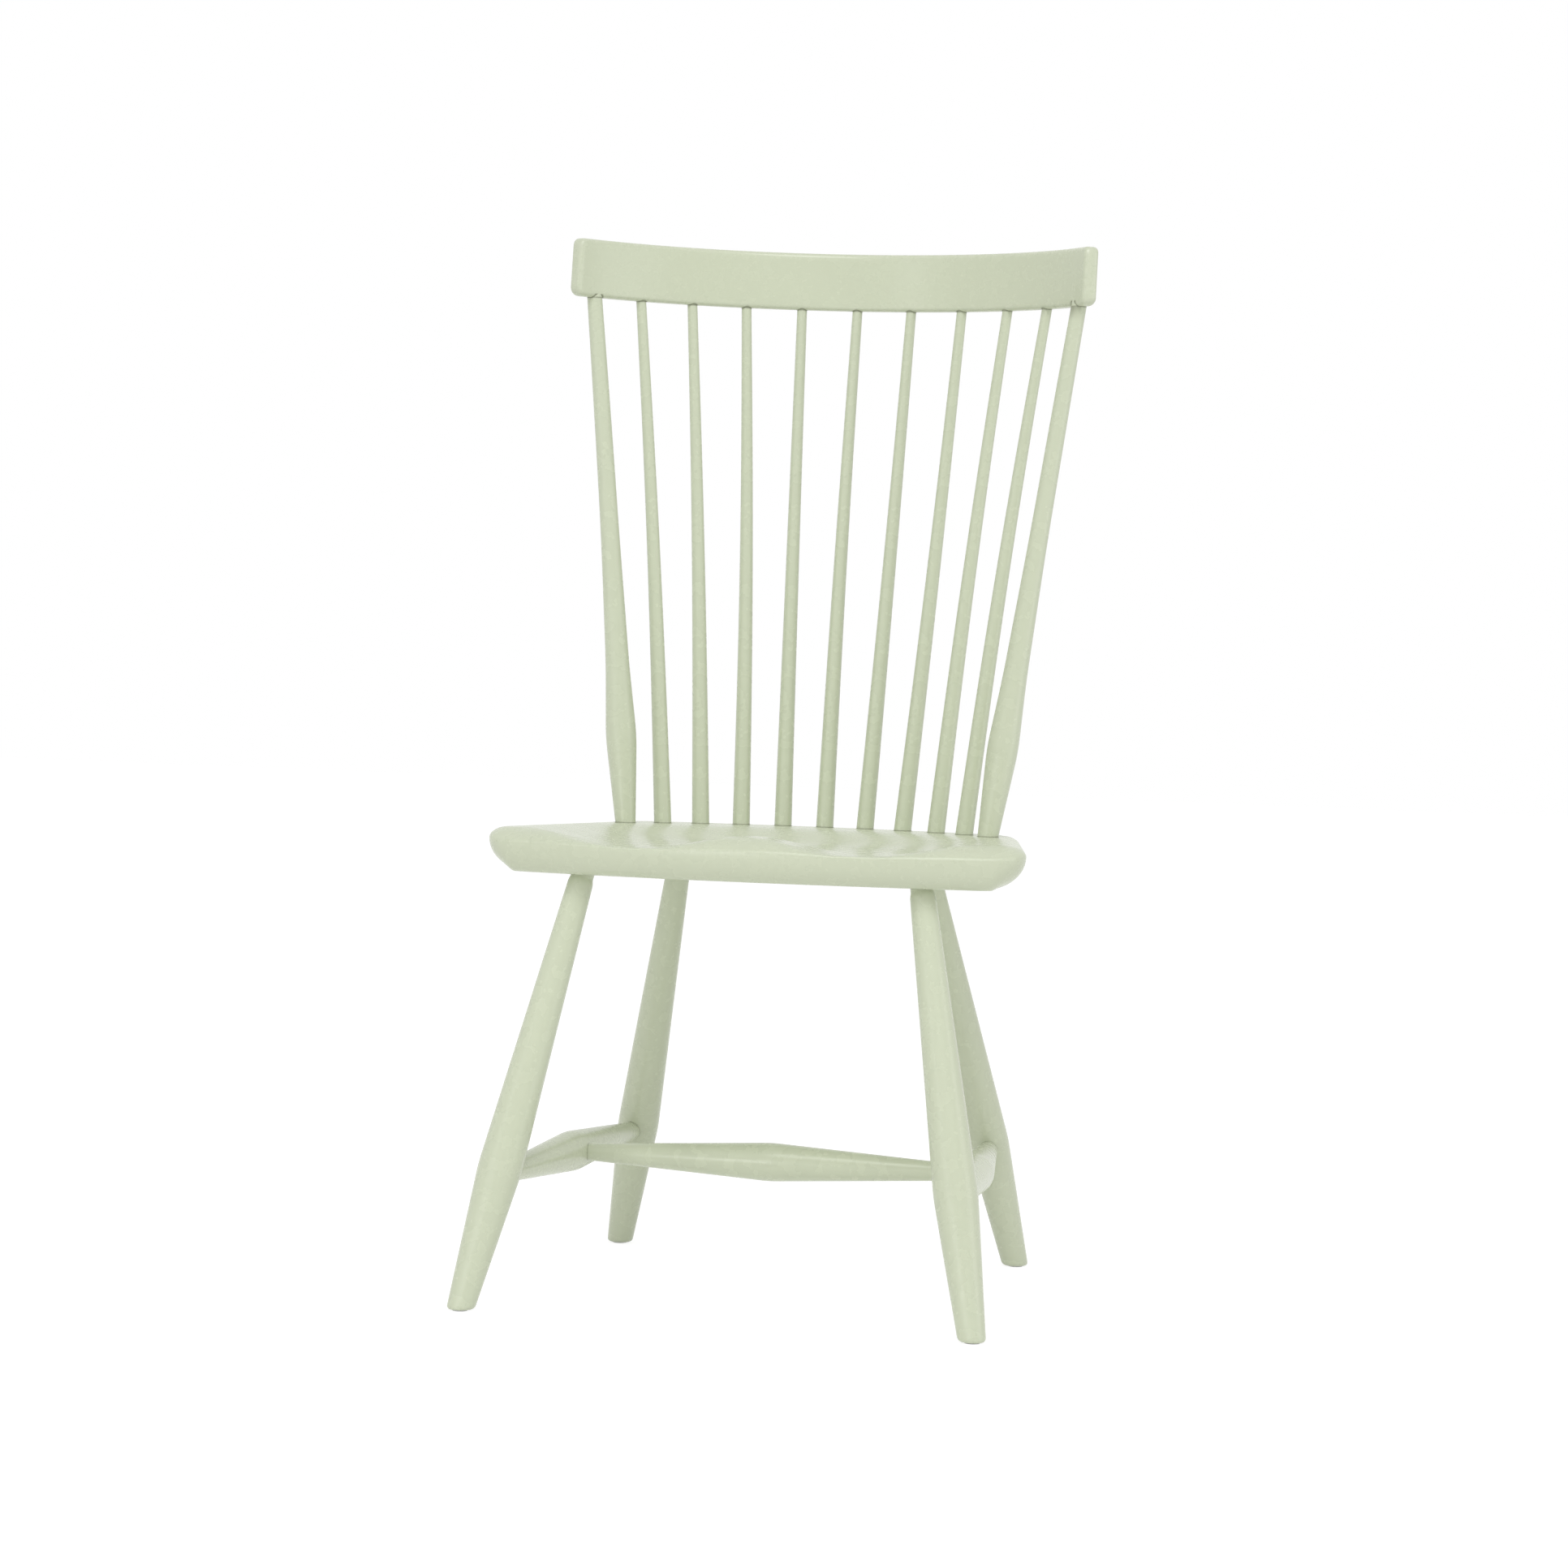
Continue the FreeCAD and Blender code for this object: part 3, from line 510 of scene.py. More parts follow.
def satin_paint(context, name="satin_paint", seams=None):
    """Sprayed satin paint over close-grained wood, with painted highlights on rims and ridges and painted
    shade in the seams
    """
    tone_swing, rough_swing = 0.009, 0.02
    fibre_share, fibre_relief = 0.03, 0.02
    highlight_share, highlight_rough = 0.45, 0.12
    seam_shade_share, seam_rough = 0.75, 0.3
    paint = context.scene.chair_paint
    material, tree, shader = new_material(name)
    place = stored(tree, WOOD_PLACE, "Vector")
    seam = stored(tree, SEAM, "Fac")
    rim = stored(tree, RIM, "Fac")
    if seams:
        seam = calculate(tree, "MAXIMUM", seam, seams(tree))
    # Slow changes of tone, as a sprayed coat is thicker in one place than the next.
    cloud = noise(tree, place, 11.0, 4.0)
    mottle = noise(tree, place, 70.0, 3.0)
    tone = plus(tree, times(tree, cloud, 0.7), times(tree, mottle, 0.3))
    spread = remap(tree, tone, 0.35, 0.65, 0.0, 1.0)
    body = blend_colours(tree, spread, rgba(paint.colour, 1 - tone_swing), rgba(paint.colour, 1 + tone_swing))
    # Grain under the paint: long fibres along the piece.
    stretched = wire(tree, "ShaderNodeVectorMath", {"operation": "MULTIPLY"}, i0=place, i1=(1.0, 1.0, 0.045))
    fibres = noise(tree, stretched.outputs[0], 900.0, 2.0)
    body = blend_colours(tree, remap(tree, fibres, 0.3, 0.8, 0.0, fibre_share), body, rgba(paint.grain_and_seam_shade, 3.2))
    # Rims and ridges are lightened unevenly: a painted highlight.
    highlight_breakup = remap(tree, noise(tree, place, 160.0, 5.0, 0.7), 0.42, 0.7, 0.0, 1.0)
    lightened = times(tree, rim, times(tree, highlight_breakup, highlight_share))
    body = blend_colours(tree, lightened, body, rgba(paint.for_highlight))
    # Seams darken: the dark joint line, with painted shade where pieces meet.
    body = blend_colours(tree, times(tree, seam, seam_shade_share), body, rgba(paint.grain_and_seam_shade))
    tree.links.new(body, shader.inputs["Base Color"])
    rough = remap(tree, mottle, 0.3, 0.7, paint.roughness - rough_swing, paint.roughness + rough_swing)
    rough = plus(tree, rough, times(tree, lightened, highlight_rough))
    rough = plus(tree, rough, times(tree, seam, seam_rough))
    tree.links.new(rough, shader.inputs["Roughness"])
    # The skin of a sprayed coat, and the grain just showing through it.
    peel = noise(tree, place, 90.0, 1.0)
    add_bump(tree, shader, plus(tree, peel, times(tree, fibres, fibre_relief)), 0.025, 0.0002)
    return material


def drawn_steel(context):
    """Bright drawn wire with fine scratches along it"""
    paint = context.scene.chair_paint
    material, tree, shader = new_material("drawn_steel")
    place = wire(tree, "ShaderNodeTexCoord").outputs["Object"]
    scratches = noise(tree, place, 2600.0, 4.0, 0.7)
    stain = remap(tree, noise(tree, place, 420.0, 3.0), 0.4, 0.7, 0.0, 1.0)
    colour = blend_colours(tree, stain, rgba(paint.steel), rgba(paint.steel, 0.7))
    tree.links.new(colour, shader.inputs["Base Color"])
    tree.links.new(remap(tree, scratches, 0.3, 0.7, 0.28, 0.5), shader.inputs["Roughness"])
    shader.inputs["Metallic"].default_value = 1.0
    add_bump(tree, shader, scratches, 0.3, 0.00005)
    return material


def moulded_plastic(context):
    """Fine-textured moulded plastic, scuffed where it meets the floor"""
    scuff_height = 0.0007
    paint = context.scene.chair_paint
    material, tree, shader = new_material("moulded_plastic")
    texture = wire(tree, "ShaderNodeTexCoord").outputs["Object"]
    grain = noise(tree, texture, 3000.0, 2.0)
    patches = noise(tree, texture, 260.0, 4.0)
    height = wire(tree, "ShaderNodeSeparateXYZ", None, Vector=texture).outputs["Z"]
    low = remap(tree, height, 0.0, scuff_height, 1.0, 0.0)
    scuffed = times(tree, low, remap(tree, patches, 0.4, 0.6, 0.2, 1.0))
    shade = remap(tree, patches, 0.3, 0.7, 0.0, 1.0)
    colour = blend_colours(tree, shade, rgba(paint.plastic), rgba(paint.plastic, 0.88))
    colour = blend_colours(tree, times(tree, scuffed, 0.6), colour, rgba(paint.plastic, 0.5))
    tree.links.new(colour, shader.inputs["Base Color"])
    rough = plus(tree, remap(tree, grain, 0.3, 0.7, 0.45, 0.55), times(tree, scuffed, 0.25))
    tree.links.new(rough, shader.inputs["Roughness"])
    add_bump(tree, shader, grain, 0.4, 0.00006)
    return material


def paint_of(context):
    """The paint that all the wooden pieces share"""
    return bpy.data.materials.get("satin_paint") or satin_paint(context)


def entry_seams(arc, radii, fade, shown):
    """Thin dark rings where the sticks and posts enter a piece: a dark joint line with painted shade

    arc holds the centre and radius of the arc they stand on, the turn from stick to stick and the
    turn of the posts; radii are those of a stick and a post; fade is where the dark ends outside
    them, and shown maps a height to how much shows.
    """
    centre, arc_radius, step, post_turn = arc

    def build(tree):
        place = wire(tree, "ShaderNodeTexCoord").outputs["Object"]
        axes = wire(tree, "ShaderNodeSeparateXYZ", None, Vector=place)
        x = axes.outputs["X"]
        y = minus(tree, axes.outputs["Y"], centre)
        around = calculate(tree, "DIVIDE", calculate(tree, "ARCTAN2", x, y), step)
        nearest = calculate(tree, "MAXIMUM", calculate(tree, "ROUND", around), -LAST_STICK)
        nearest = calculate(tree, "MINIMUM", nearest, LAST_STICK)
        turns = times(tree, nearest, step), times(tree, calculate(tree, "SIGN", x), post_turn)
        rings = []
        for turn_to, radius in zip(turns, radii):
            squares = []
            for value, swing in ((x, "SINE"), (y, "COSINE")):
                middle = times(tree, calculate(tree, swing, turn_to), arc_radius)
                away = minus(tree, value, middle)
                squares.append(times(tree, away, away))
            distance = calculate(tree, "SQRT", plus(tree, *squares))
            rings.append(remap(tree, distance, radius + fade[0], radius + fade[1], 1.0, 0.0))
        return times(tree, calculate(tree, "MAXIMUM", *rings), remap(tree, axes.outputs["Z"], *shown))

    return build


# The seat.


def meet(centre, radius, line_point, line_way, reach):
    """Where a line crosses a circle, on the side that the reach points to"""
    offset = line_point - centre
    half = offset.dot(line_way)
    root = math.sqrt(half * half - (offset.length_squared - radius * radius))
    return line_point + line_way * (-half + math.copysign(root, reach))


def seat_outline(context, spacing=0.0045):
    """Points of the plank's edge in plan on the +X side, front to rear, and outward directions"""
    seat = context.scene.chair_seat
    front_middle = Vector((0, seat.front_bow - seat.front))
    rear_middle = Vector((0, seat.rear - seat.rear_bow))
    drop = seat.front_bow * math.cos(math.asin(seat.front_half / seat.front_bow))
    front_corner = Vector((seat.front_half, front_middle.y - drop))
    rise = seat.rear_bow * math.cos(math.asin(seat.rear_half / seat.rear_bow))
    rear_corner = Vector((seat.rear_half, rear_middle.y + rise))
    way = (rear_corner - front_corner).normalized()
    inward = Vector((-way.y, way.x))
    front_ball = meet(front_middle, seat.front_bow - seat.front_corner,
                      front_corner + inward * seat.front_corner, way, -1)
    rear_ball = meet(rear_middle, seat.rear_bow - seat.rear_corner,
                     rear_corner + inward * seat.rear_corner, way, 1)
    side_angle = math.atan2(-inward.y, -inward.x)

    def arc(middle, radius, start, end, spacing=spacing):
        count = max(4, round(radius * abs(end - start) / spacing))
        angles = np.linspace(start, end, count, endpoint=False)
        facing = np.column_stack([np.cos(angles), np.sin(angles)])
        return np.array(middle) + facing * radius, facing

    front_angle = math.atan2(front_ball.y - front_middle.y, front_ball.x - front_middle.x)
    rear_angle = math.atan2(rear_ball.y - rear_middle.y, rear_ball.x - rear_middle.x)
    start = front_ball - inward * seat.front_corner
    end = rear_ball - inward * seat.rear_corner
    count = round((end - start).length / spacing)
    steps = np.linspace(0, 1, count, endpoint=False)[:, None]
    line = np.array(start) + (np.array(end) - np.array(start)) * steps
    parts = [
        arc(front_middle, seat.front_bow, -math.pi / 2, front_angle),
        arc(front_ball, seat.front_corner, front_angle, side_angle, spacing / 2.5),
        (line, np.tile(np.array(-inward), (count, 1))),
        arc(rear_ball, seat.rear_corner, side_angle, rear_angle),
        arc(rear_middle, seat.rear_bow, rear_angle, math.pi / 2),
    ]
    points = np.vstack([part[0] for part in parts])
    facing = np.vstack([part[1] for part in parts])
    # How much of the front roll's section each point takes: all along the front, none on the side.
    corner_start = len(parts[0][0])
    corner_end = corner_start + len(parts[1][0])
    places = np.arange(len(points))
    frontness = 1 - smooth_step(places, corner_start - 3, corner_end)
    return points, facing, frontness


def smooth_step(value, low, high):
    share_of = np.clip((value - low) / (high - low), 0, 1)
    return share_of * share_of * (3 - 2 * share_of)


def mirrored(points, facing, frontness):
    """The whole edge from its +X side, without doubling the point on the middle"""
    flip = np.array([-1.0, 1.0])
    return (np.vstack([points, points[:0:-1] * flip]),
            np.vstack([facing, facing[:0:-1] * flip]),
            np.concatenate([frontness, frontness[:0:-1]]))


def hollow_depth(context, x, y):
    """Depth of the hollow: one bowl behind, and two channels past a pommel at the front"""
    seat = context.scene.chair_seat
    bowl_middle, bowl_reach = -0.040, 0.150
    rise_from, rise_to = 0.10, 0.22
    flat_share = 0.54
    ridge_half = 0.004
    pommel_from, pommel_to = 0.05, 0.165
    behind = np.maximum(y - bowl_middle, 0) / bowl_reach
    reach = np.sqrt((x / seat.hollow_half) ** 2 + behind**2)
    deepest = seat.hollow - seat.hollow_rise * smooth_step(-y, rise_from, rise_to)
    depth = deepest * (1 - smooth_step(reach, flat_share, 1.0))
    pommel = 1 - smooth_step(np.abs(x), ridge_half, seat.pommel_half)
    return depth * (1 - pommel * smooth_step(-y, pommel_from, pommel_to))


def front_section(seat, steps):
    """Inset and drop across the rolled front edge: a long arc, then a short nose"""
    overhang = seat.nose * (1 - seat.roll_setback / seat.roll) / (1 - seat.nose / seat.roll)
    lean = math.asin((seat.roll_setback - overhang) / seat.roll)
    start = math.acos(min(1.0, seat.roll_sink / seat.roll))
    roll = [(seat.roll_setback - seat.roll * math.sin(a), seat.roll_sink - seat.roll * math.cos(a))
            for a in np.linspace(start, lean, steps[0])]
    base = roll[-1][1]
    nose = [(seat.nose * (1 - math.sin(a)), base + seat.nose * (math.cos(lean) - math.cos(a)))
            for a in np.linspace(lean, math.pi / 2, steps[1] + 1)[1:]]
    return np.array(roll + nose)


def upper_section(width, height, count):
    """Inset and drop across the upper rounding of a side or the rear"""
    angles = np.linspace(0, math.pi / 2, count)
    return np.column_stack([width * (1 - np.sin(angles)), height * (1 - np.cos(angles))])


def smooth_larger(one, two, softness):
    """The larger of two depths, with the crease between them eased"""
    return (one + two + np.sqrt((one - two) ** 2 + softness**2)) / 2


def seat_mesh(context):
    seat = context.scene.chair_seat
    points, facing, frontness = mirrored(*seat_outline(context))
    steps = (18, 10)
    count = sum(steps)
    rear_from, rear_to = 0.6, 0.95
    crease = 0.0035
    rim_rings = 4.0
    # The section changes round the plank: rolled at the front, rounder at the rear than the sides.
    rearness = smooth_step(facing[:, 1], rear_from, rear_to)[:, None, None]
    side = upper_section(seat.side_width, seat.top_round, count)
    rear = upper_section(seat.rear_width, seat.top_round, count)
    blend = frontness[:, None, None]
    section = front_section(seat, steps) * blend + (side + (rear - side) * rearness) * (1 - blend)
    centre = np.array([0.0, -0.010])
    rings = []
    inner = points - facing * section[:, 0, 0][:, None]
    for step in np.linspace(0.03, 1, 36, endpoint=False):
        flat = centre + (inner - centre) * step
        rings.append(np.column_stack([flat, -hollow_depth(context, flat[:, 0], flat[:, 1])]))
    edge_from = len(rings)
    for step in range(count):
        flat = points - facing * section[:, step, 0][:, None]
        depth = hollow_depth(context, flat[:, 0], flat[:, 1])
        drop = section[:, step, 1]
        softness = crease * smooth_step(depth, 0.0, 0.006) * smooth_step(drop, 0.0, 0.004)
        rings.append(np.column_stack([flat, -smooth_larger(drop, depth, softness)]))
    face = rings[-1][:, 2]
    # Under the face the edge rounds back to the flat underside.
    width = seat.side_under + (seat.front_under - seat.side_under) * frontness**3
    height = np.minimum(seat.under_height, seat.thickness + face)
    for angle in np.linspace(0, math.pi / 2, 14)[1:]:
        inset = width * (1 - math.cos(angle))
        level = -seat.thickness + height * (1 - math.sin(angle))
        rings.append(np.column_stack([points - facing * inset[:, None], level]))
    inner = points - facing * width[:, None]
    for step in np.linspace(1, 0.05, 9)[1:]:
        flat = centre + (inner - centre) * step
        rings.append(np.column_stack([flat, np.full(len(flat), -seat.thickness)]))
    rings = np.array(rings)
    back = rings[:, :, 1] - seat.deck_depth
    up = rings[:, :, 2]
    pitched = np.dstack([rings[:, :, 0],
                         seat.deck_depth + back * math.cos(seat.pitch) + up * math.sin(seat.pitch),
                         seat.deck_height - back * math.sin(seat.pitch) + up * math.cos(seat.pitch)])
    # The plank's grain runs from side to side.
    mesh = skin("seat", pitched, rings[:, :, [1, 2, 0]])
    ring_of = np.repeat(np.arange(len(rings)), len(points))
    # A painted highlight along the nose of the front edge.
    nose_ring = edge_from + steps[0] + steps[1] / 2
    rim = np.exp(-(((ring_of - nose_ring) / rim_rings) ** 2)) * np.tile(frontness, len(rings))
    mark(mesh, RIM, np.concatenate([rim, [0, 0]]))
    mark(mesh, SEAM, np.zeros(len(mesh.vertices)))
    return mesh


def seat_seams(context):
    """Dark joint lines with painted shade, in rings round the feet of the sticks and posts, on the deck and
    not underneath
    """
    back = context.scene.chair_back
    return entry_seams((back.seat_centre, back.seat_radius, back.seat_step, back.seat_post),
                       (back.stick_foot, back.post_foot), (0.0006, 0.0021), (0.43, 0.432, 0.0, 1.0))


class ChairStep:
    """What every step shares"""

    bl_options = {"REGISTER", "UNDO"}


class CHAIR_OT_build_seat(ChairStep, Operator):
    """Build the shaped plank seat"""

    bl_idname = "chair.build_seat"
    bl_label = "Build Seat"

    def execute(self, context):
        paint = satin_paint(context, "satin_paint_seat", seat_seams(context))
        add_piece(context, seat_mesh(context), "seat", paint)
        return {"FINISHED"}


# Legs and stretchers.


def leg_radius(context, which, side, distances):
    """Radius of a leg along its axis, to know where a stretcher enters it"""
    legs = context.scene.chair_legs
    per_height = leg_line(context, which, side)[1].length
    ridge = legs.ridge_height * per_height
    entry = seat_entry(context, which, side).z * per_height
    radii = [legs.foot_radius, legs.ridge_radius, legs.top_radius]
    return np.interp(distances, [0, ridge, entry], radii)


def level_foot(start, along, profile, legs, sides):
    """Rings of a foot sawn level: rim rounded, then up to where the plain rings begin"""
    circle, flat = circle_across(along, sides)
    slope = (profile[-1][1] - profile[0][1]) / (profile[-1][0] - profile[0][0])
    base = profile[0][1] - slope * profile[0][0]
    cut = (legs.foot_lift - start.z - base * circle[:, 2]) / (along.z + slope * circle[:, 2])

    def side_point(distance):
        return (np.array(start) + np.outer(distance, np.array(along))
                + circle * (base + slope * distance)[:, None])

    corner = side_point(cut)
    upper = side_point(cut + legs.foot_rim)
    inward = corner.mean(0) - corner
    inward /= np.linalg.norm(inward, axis=1)[:, None]
    lower = corner + inward * legs.foot_rim
    rings, distances = [], []
    for share_of in (0.4, 0.8):
        rings.append(corner.mean(0) + (lower - corner.mean(0)) * share_of)
        distances.append(cut)
    for step in np.linspace(0, 1, 8):
        rings.append((1 - step) ** 2 * lower + 2 * (1 - step) * step * corner + step**2 * upper)
        distances.append(cut + legs.foot_rim * step**2)
    top = np.full(sides, profile[-1][0])
    for step in np.linspace(0, 1, 5)[1:]:
        distance = (cut + legs.foot_rim) * (1 - step) + top * step
        rings.append(side_point(distance))
        distances.append(distance)
    places = [np.column_stack([flat * base, distance]) for distance in distances]
    return np.array(rings), np.array(places)


def leg_mesh(context, name, which, side):
    legs = context.scene.chair_legs
    sides = context.scene.chair_stage.sides
    foot, slope = leg_line(context, which, side)
    along = slope.normalized()
    ridge = legs.ridge_height * slope.length
    entry = seat_entry(context, which, side).z * slope.length
    plain_from = 0.040
    shoulder_low, shoulder_high = entry - 0.0085, entry - 0.0045
    hidden = 0.012
    taper = (legs.ridge_radius - legs.foot_radius) / ridge
    corners = [
        (plain_from, legs.foot_radius + taper * plain_from, 0),
        (ridge, legs.ridge_radius, 0.009),
        (shoulder_low, legs.top_radius, 0.002),
        (shoulder_high, legs.neck_radius, 0.001),
        (entry + hidden, legs.neck_radius, 0),
    ]
    profile = soft_profile(corners, 0.012)
    profile = with_close_rings(profile, [(entry - 0.006, entry + 0.005)], 0.0006)
    foot_profile = [(0, legs.foot_radius), (plain_from, profile[0][1])]
    low_rings, low_places = level_foot(foot, along, foot_profile, legs, sides)
    rings, places = turned_rings(foot, along, profile, sides)
    mesh = skin(name, np.vstack([low_rings, rings[1:]]), np.vstack([low_places, places[1:]]))
    points = vertex_points(mesh)
    # Dark joint line with painted shade where the leg enters the seat.
    under = above_deck(context, points) + context.scene.chair_seat.thickness
    mark(mesh, SEAM, seam_strength(under, SEAM_REACH))
    _, distance = distance_to_axis(points, foot, foot + slope)
    # Painted highlight round the rim of the foot and on the ridge.
    foot_reach = 0.003
    foot_highlight = np.exp(-((points[:, 2] - legs.foot_lift) / foot_reach) ** 2)
    mark(mesh, RIM, foot_highlight + ridge_highlight(distance, ridge))
    return mesh


class CHAIR_OT_build_legs(ChairStep, Operator):
    """Build the four turned legs"""

    bl_idname = "chair.build_legs"
    bl_label = "Build Legs"

    def execute(self, context):
        for name, (which, side) in LEGS.items():
            add_piece(context, leg_mesh(context, name, which, side), name, paint_of(context))
        return {"FINISHED"}


def stretcher_mesh(context, name, start, end, radii, surfaces):
    """A stretcher from axis to axis; each surface gives a point's distance from what it enters"""
    sides = context.scene.chair_stage.sides
    end_radius, bulge_radius = radii
    along = (end - start).normalized()
    span = (end - start).length
    hidden = 0.010
    seam_from, seam_to = 0.012, 0.030
    corners = [
        (hidden, end_radius, 0),
        (STRETCHER_SHOWN, end_radius, 0.003),
        (span / 2, bulge_radius, 0.009),
        (span - STRETCHER_SHOWN, end_radius, 0.003),
        (span - hidden, end_radius, 0),
    ]
    profile = soft_profile(corners, 0.010)
    spans = [(seam_from, seam_to), (span - seam_to, span - seam_from)]
    profile = with_close_rings(profile, spans, 0.0006)
    rings, places = turned_rings(start, along, profile, sides)
    mesh = skin(name, rings, places)
    points = vertex_points(mesh)
    # Dark joint line with painted shade where the stretcher enters what it meets.
    gaps = np.min([np.abs(surface(points)) for surface in surfaces], axis=0)
    mark(mesh, SEAM, seam_strength(gaps, SEAM_REACH))
    # Painted highlight on the bulge's ridge.
    _, distance = distance_to_axis(points, start, end)
    mark(mesh, RIM, ridge_highlight(distance, span / 2))
    return mesh


def leg_surface(context, which, side):
    foot, slope = leg_line(context, which, side)

    def gap(points):
        away, distance = distance_to_axis(points, foot, foot + slope)
        return away - leg_radius(context, which, side, distance)

    return gap


def side_stretcher_surface(context, side):
    sizes = context.scene.chair_stretchers
    start, end = side_joints(context, side)
    half = (end - start).length / 2
    # Kept a little under the ridge's own radius, as the mesh's ridge is softened.
    eased = 0.0004
    radii = [sizes.bulge_radius - eased, sizes.end_radius]

    def gap(points):
        away, distance = distance_to_axis(points, start, end)
        return away - np.interp(np.abs(distance - half), [0, half - STRETCHER_SHOWN], radii)

    return gap


class CHAIR_OT_build_stretchers(ChairStep, Operator):
    """Build the three stretchers of the H brace"""

    bl_idname = "chair.build_stretchers"
    bl_label = "Build Stretchers"

    def execute(self, context):
        sizes = context.scene.chair_stretchers
        middles = {}
        for name, side in SIDE_STRETCHERS.items():
            start, end = side_joints(context, side)
            middles[side] = (start + end) / 2
            surfaces = [leg_surface(context, which, side) for which in ("front", "rear")]
            radii = (sizes.end_radius, sizes.bulge_radius)
            mesh = stretcher_mesh(context, name, start, end, radii, surfaces)
            add_piece(context, mesh, name, paint_of(context))
        surfaces = [side_stretcher_surface(context, side) for side in (1, -1)]
        mesh = stretcher_mesh(context, "centre_stretcher", middles[-1], middles[1],
                              (sizes.centre_end_radius, sizes.centre_bulge_radius), surfaces)
        add_piece(context, mesh, "centre_stretcher", paint_of(context))
        return {"FINISHED"}


# The back.


# How many millimetres each stick and post bows out of true half way up, across the chair.
BOWS = dict(zip(range(-POST_PLACE, POST_PLACE + 1),
                (1.6, 2.2, 2.0, 2.5, -0.2, -1.1, 0.8, 1.3, -2.2, -2.8, -0.4)))


def upright_mesh(context, name, place, corners):
    """A stick or post: corners are (share of the span, radius, softness)"""
    sides = context.scene.chair_stage.sides
    if abs(place) < POST_PLACE:
        sides //= 2
    base, top = stick_line(context, place)
    along = (top - base).normalized()
    span = (top - base).length
    hidden_low, hidden_high = 0.012, 0.0096
    near = 0.004
    stations = [(share_of * span, radius, softness) for share_of, radius, softness in corners]
    stations = [(-hidden_low, corners[0][1], 0)] + stations + [(span + hidden_high, corners[-1][1], 0)]
    profile = soft_profile(stations, 0.015)
    profile = with_close_rings(profile, [(-near, near), (span - near, span + near)], 0.0005)
    sideways = np.array([1.0, 0.0, 0.0])

    def bend(distance):
        return sideways * BOWS[place] * MM * math.sin(math.pi * min(max(distance / span, 0), 1))

    rings, places = turned_rings(base, along, profile, sides, bend)
    mesh = skin(name, rings, places)
    points = vertex_points(mesh)
    # Dark joint line with painted shade where the stick or post meets the deck and the rail.
    deck = np.abs(above_deck(context, points))
    rail_bottom = context.scene.chair_back.rail_bottom
    rail = np.abs(points[:, 2] + rail_drop(context, points[:, 0]) - rail_bottom)
    mark(mesh, SEAM, seam_strength(np.minimum(deck, rail), UPRIGHT_SEAM_REACH))
    mark(mesh, RIM, np.zeros(len(points)))
    return mesh


class CHAIR_OT_build_sticks(ChairStep, Operator):
    """Build the nine tapered back sticks"""

    bl_idname = "chair.build_sticks"
    bl_label = "Build Sticks"

    def execute(self, context):
        back = context.scene.chair_back
        sag = 0.96 * MM
        for number in range(1, STICK_COUNT + 1):
            corners = []
            for share_of in np.linspace(0, 1, 9):
                radius = back.stick_foot + (back.stick_top - back.stick_foot) * share_of
                corners.append((share_of, radius - sag * share_of * (1 - share_of), 0))
            name = "stick_%d" % number
            mesh = upright_mesh(context, name, number - MIDDLE_STICK, corners)
            add_piece(context, mesh, name, paint_of(context))
        return {"FINISHED"}


class CHAIR_OT_build_posts(ChairStep, Operator):
    """Build the two turned back posts"""

    bl_idname = "chair.build_posts"
    bl_label = "Build Posts"

    def execute(self, context):
        back = context.scene.chair_back
        corners = [
            (0.0, back.post_foot, 0.004),
            (0.163, back.post_bulb, 0.014),
            (0.297, back.post_shank, 0.020),
            (0.545, back.post_middle, 0.040),
            (1.0, back.post_top, 0.004),
        ]
        for name, side in POSTS.items():
            mesh = upright_mesh(context, name, side * POST_PLACE, corners)
            add_piece(context, mesh, name, paint_of(context))
        return {"FINISHED"}


def rounded_section(half_thickness, low, high, arris, steps=6):
    """Points round the rail's section as (out from the arc, height)"""
    points = []
    radius = min(arris, half_thickness * 0.98, (high - low) / 2)
    flats = {0: 4, 1: 12, 2: 4, 3: 12}
    inner = half_thickness - radius
    corners = [(inner, low + radius, -90), (inner, high - radius, 0),
               (-inner, high - radius, 90), (-inner, low + radius, 180)]
    for index, (across, height, start) in enumerate(corners):
        for step in range(steps + 1):
            angle = math.radians(start + 90 * step / steps)
            points.append((across + radius * math.cos(angle), height + radius * math.sin(angle)))
        following = corners[(index + 1) % 4]
        begin = np.array(points[-1])
        angle = math.radians(following[2])
        end = np.array(following[:2]) + radius * np.array([math.cos(angle), math.sin(angle)])
        count = flats[(index + 1) % 4]
        for step in range(1, count):
            points.append(tuple(begin + (end - begin) * step / count))
    return np.array(points)


def rounding(distance, radius):
    """How far a rounded edge falls back at a distance from where it ends"""
    inside = max(radius - distance, 0)
    return radius - math.sqrt(radius * radius - inside * inside)


def rail_drop(context, x):
    """How far the rail sits below its highest end, across the chair"""
    rail = context.scene.chair_rail
    reach = context.scene.chair_back.rail_radius * math.sin(rail.right_turn)
    return rail.droop * (x + reach) / (2 * reach)


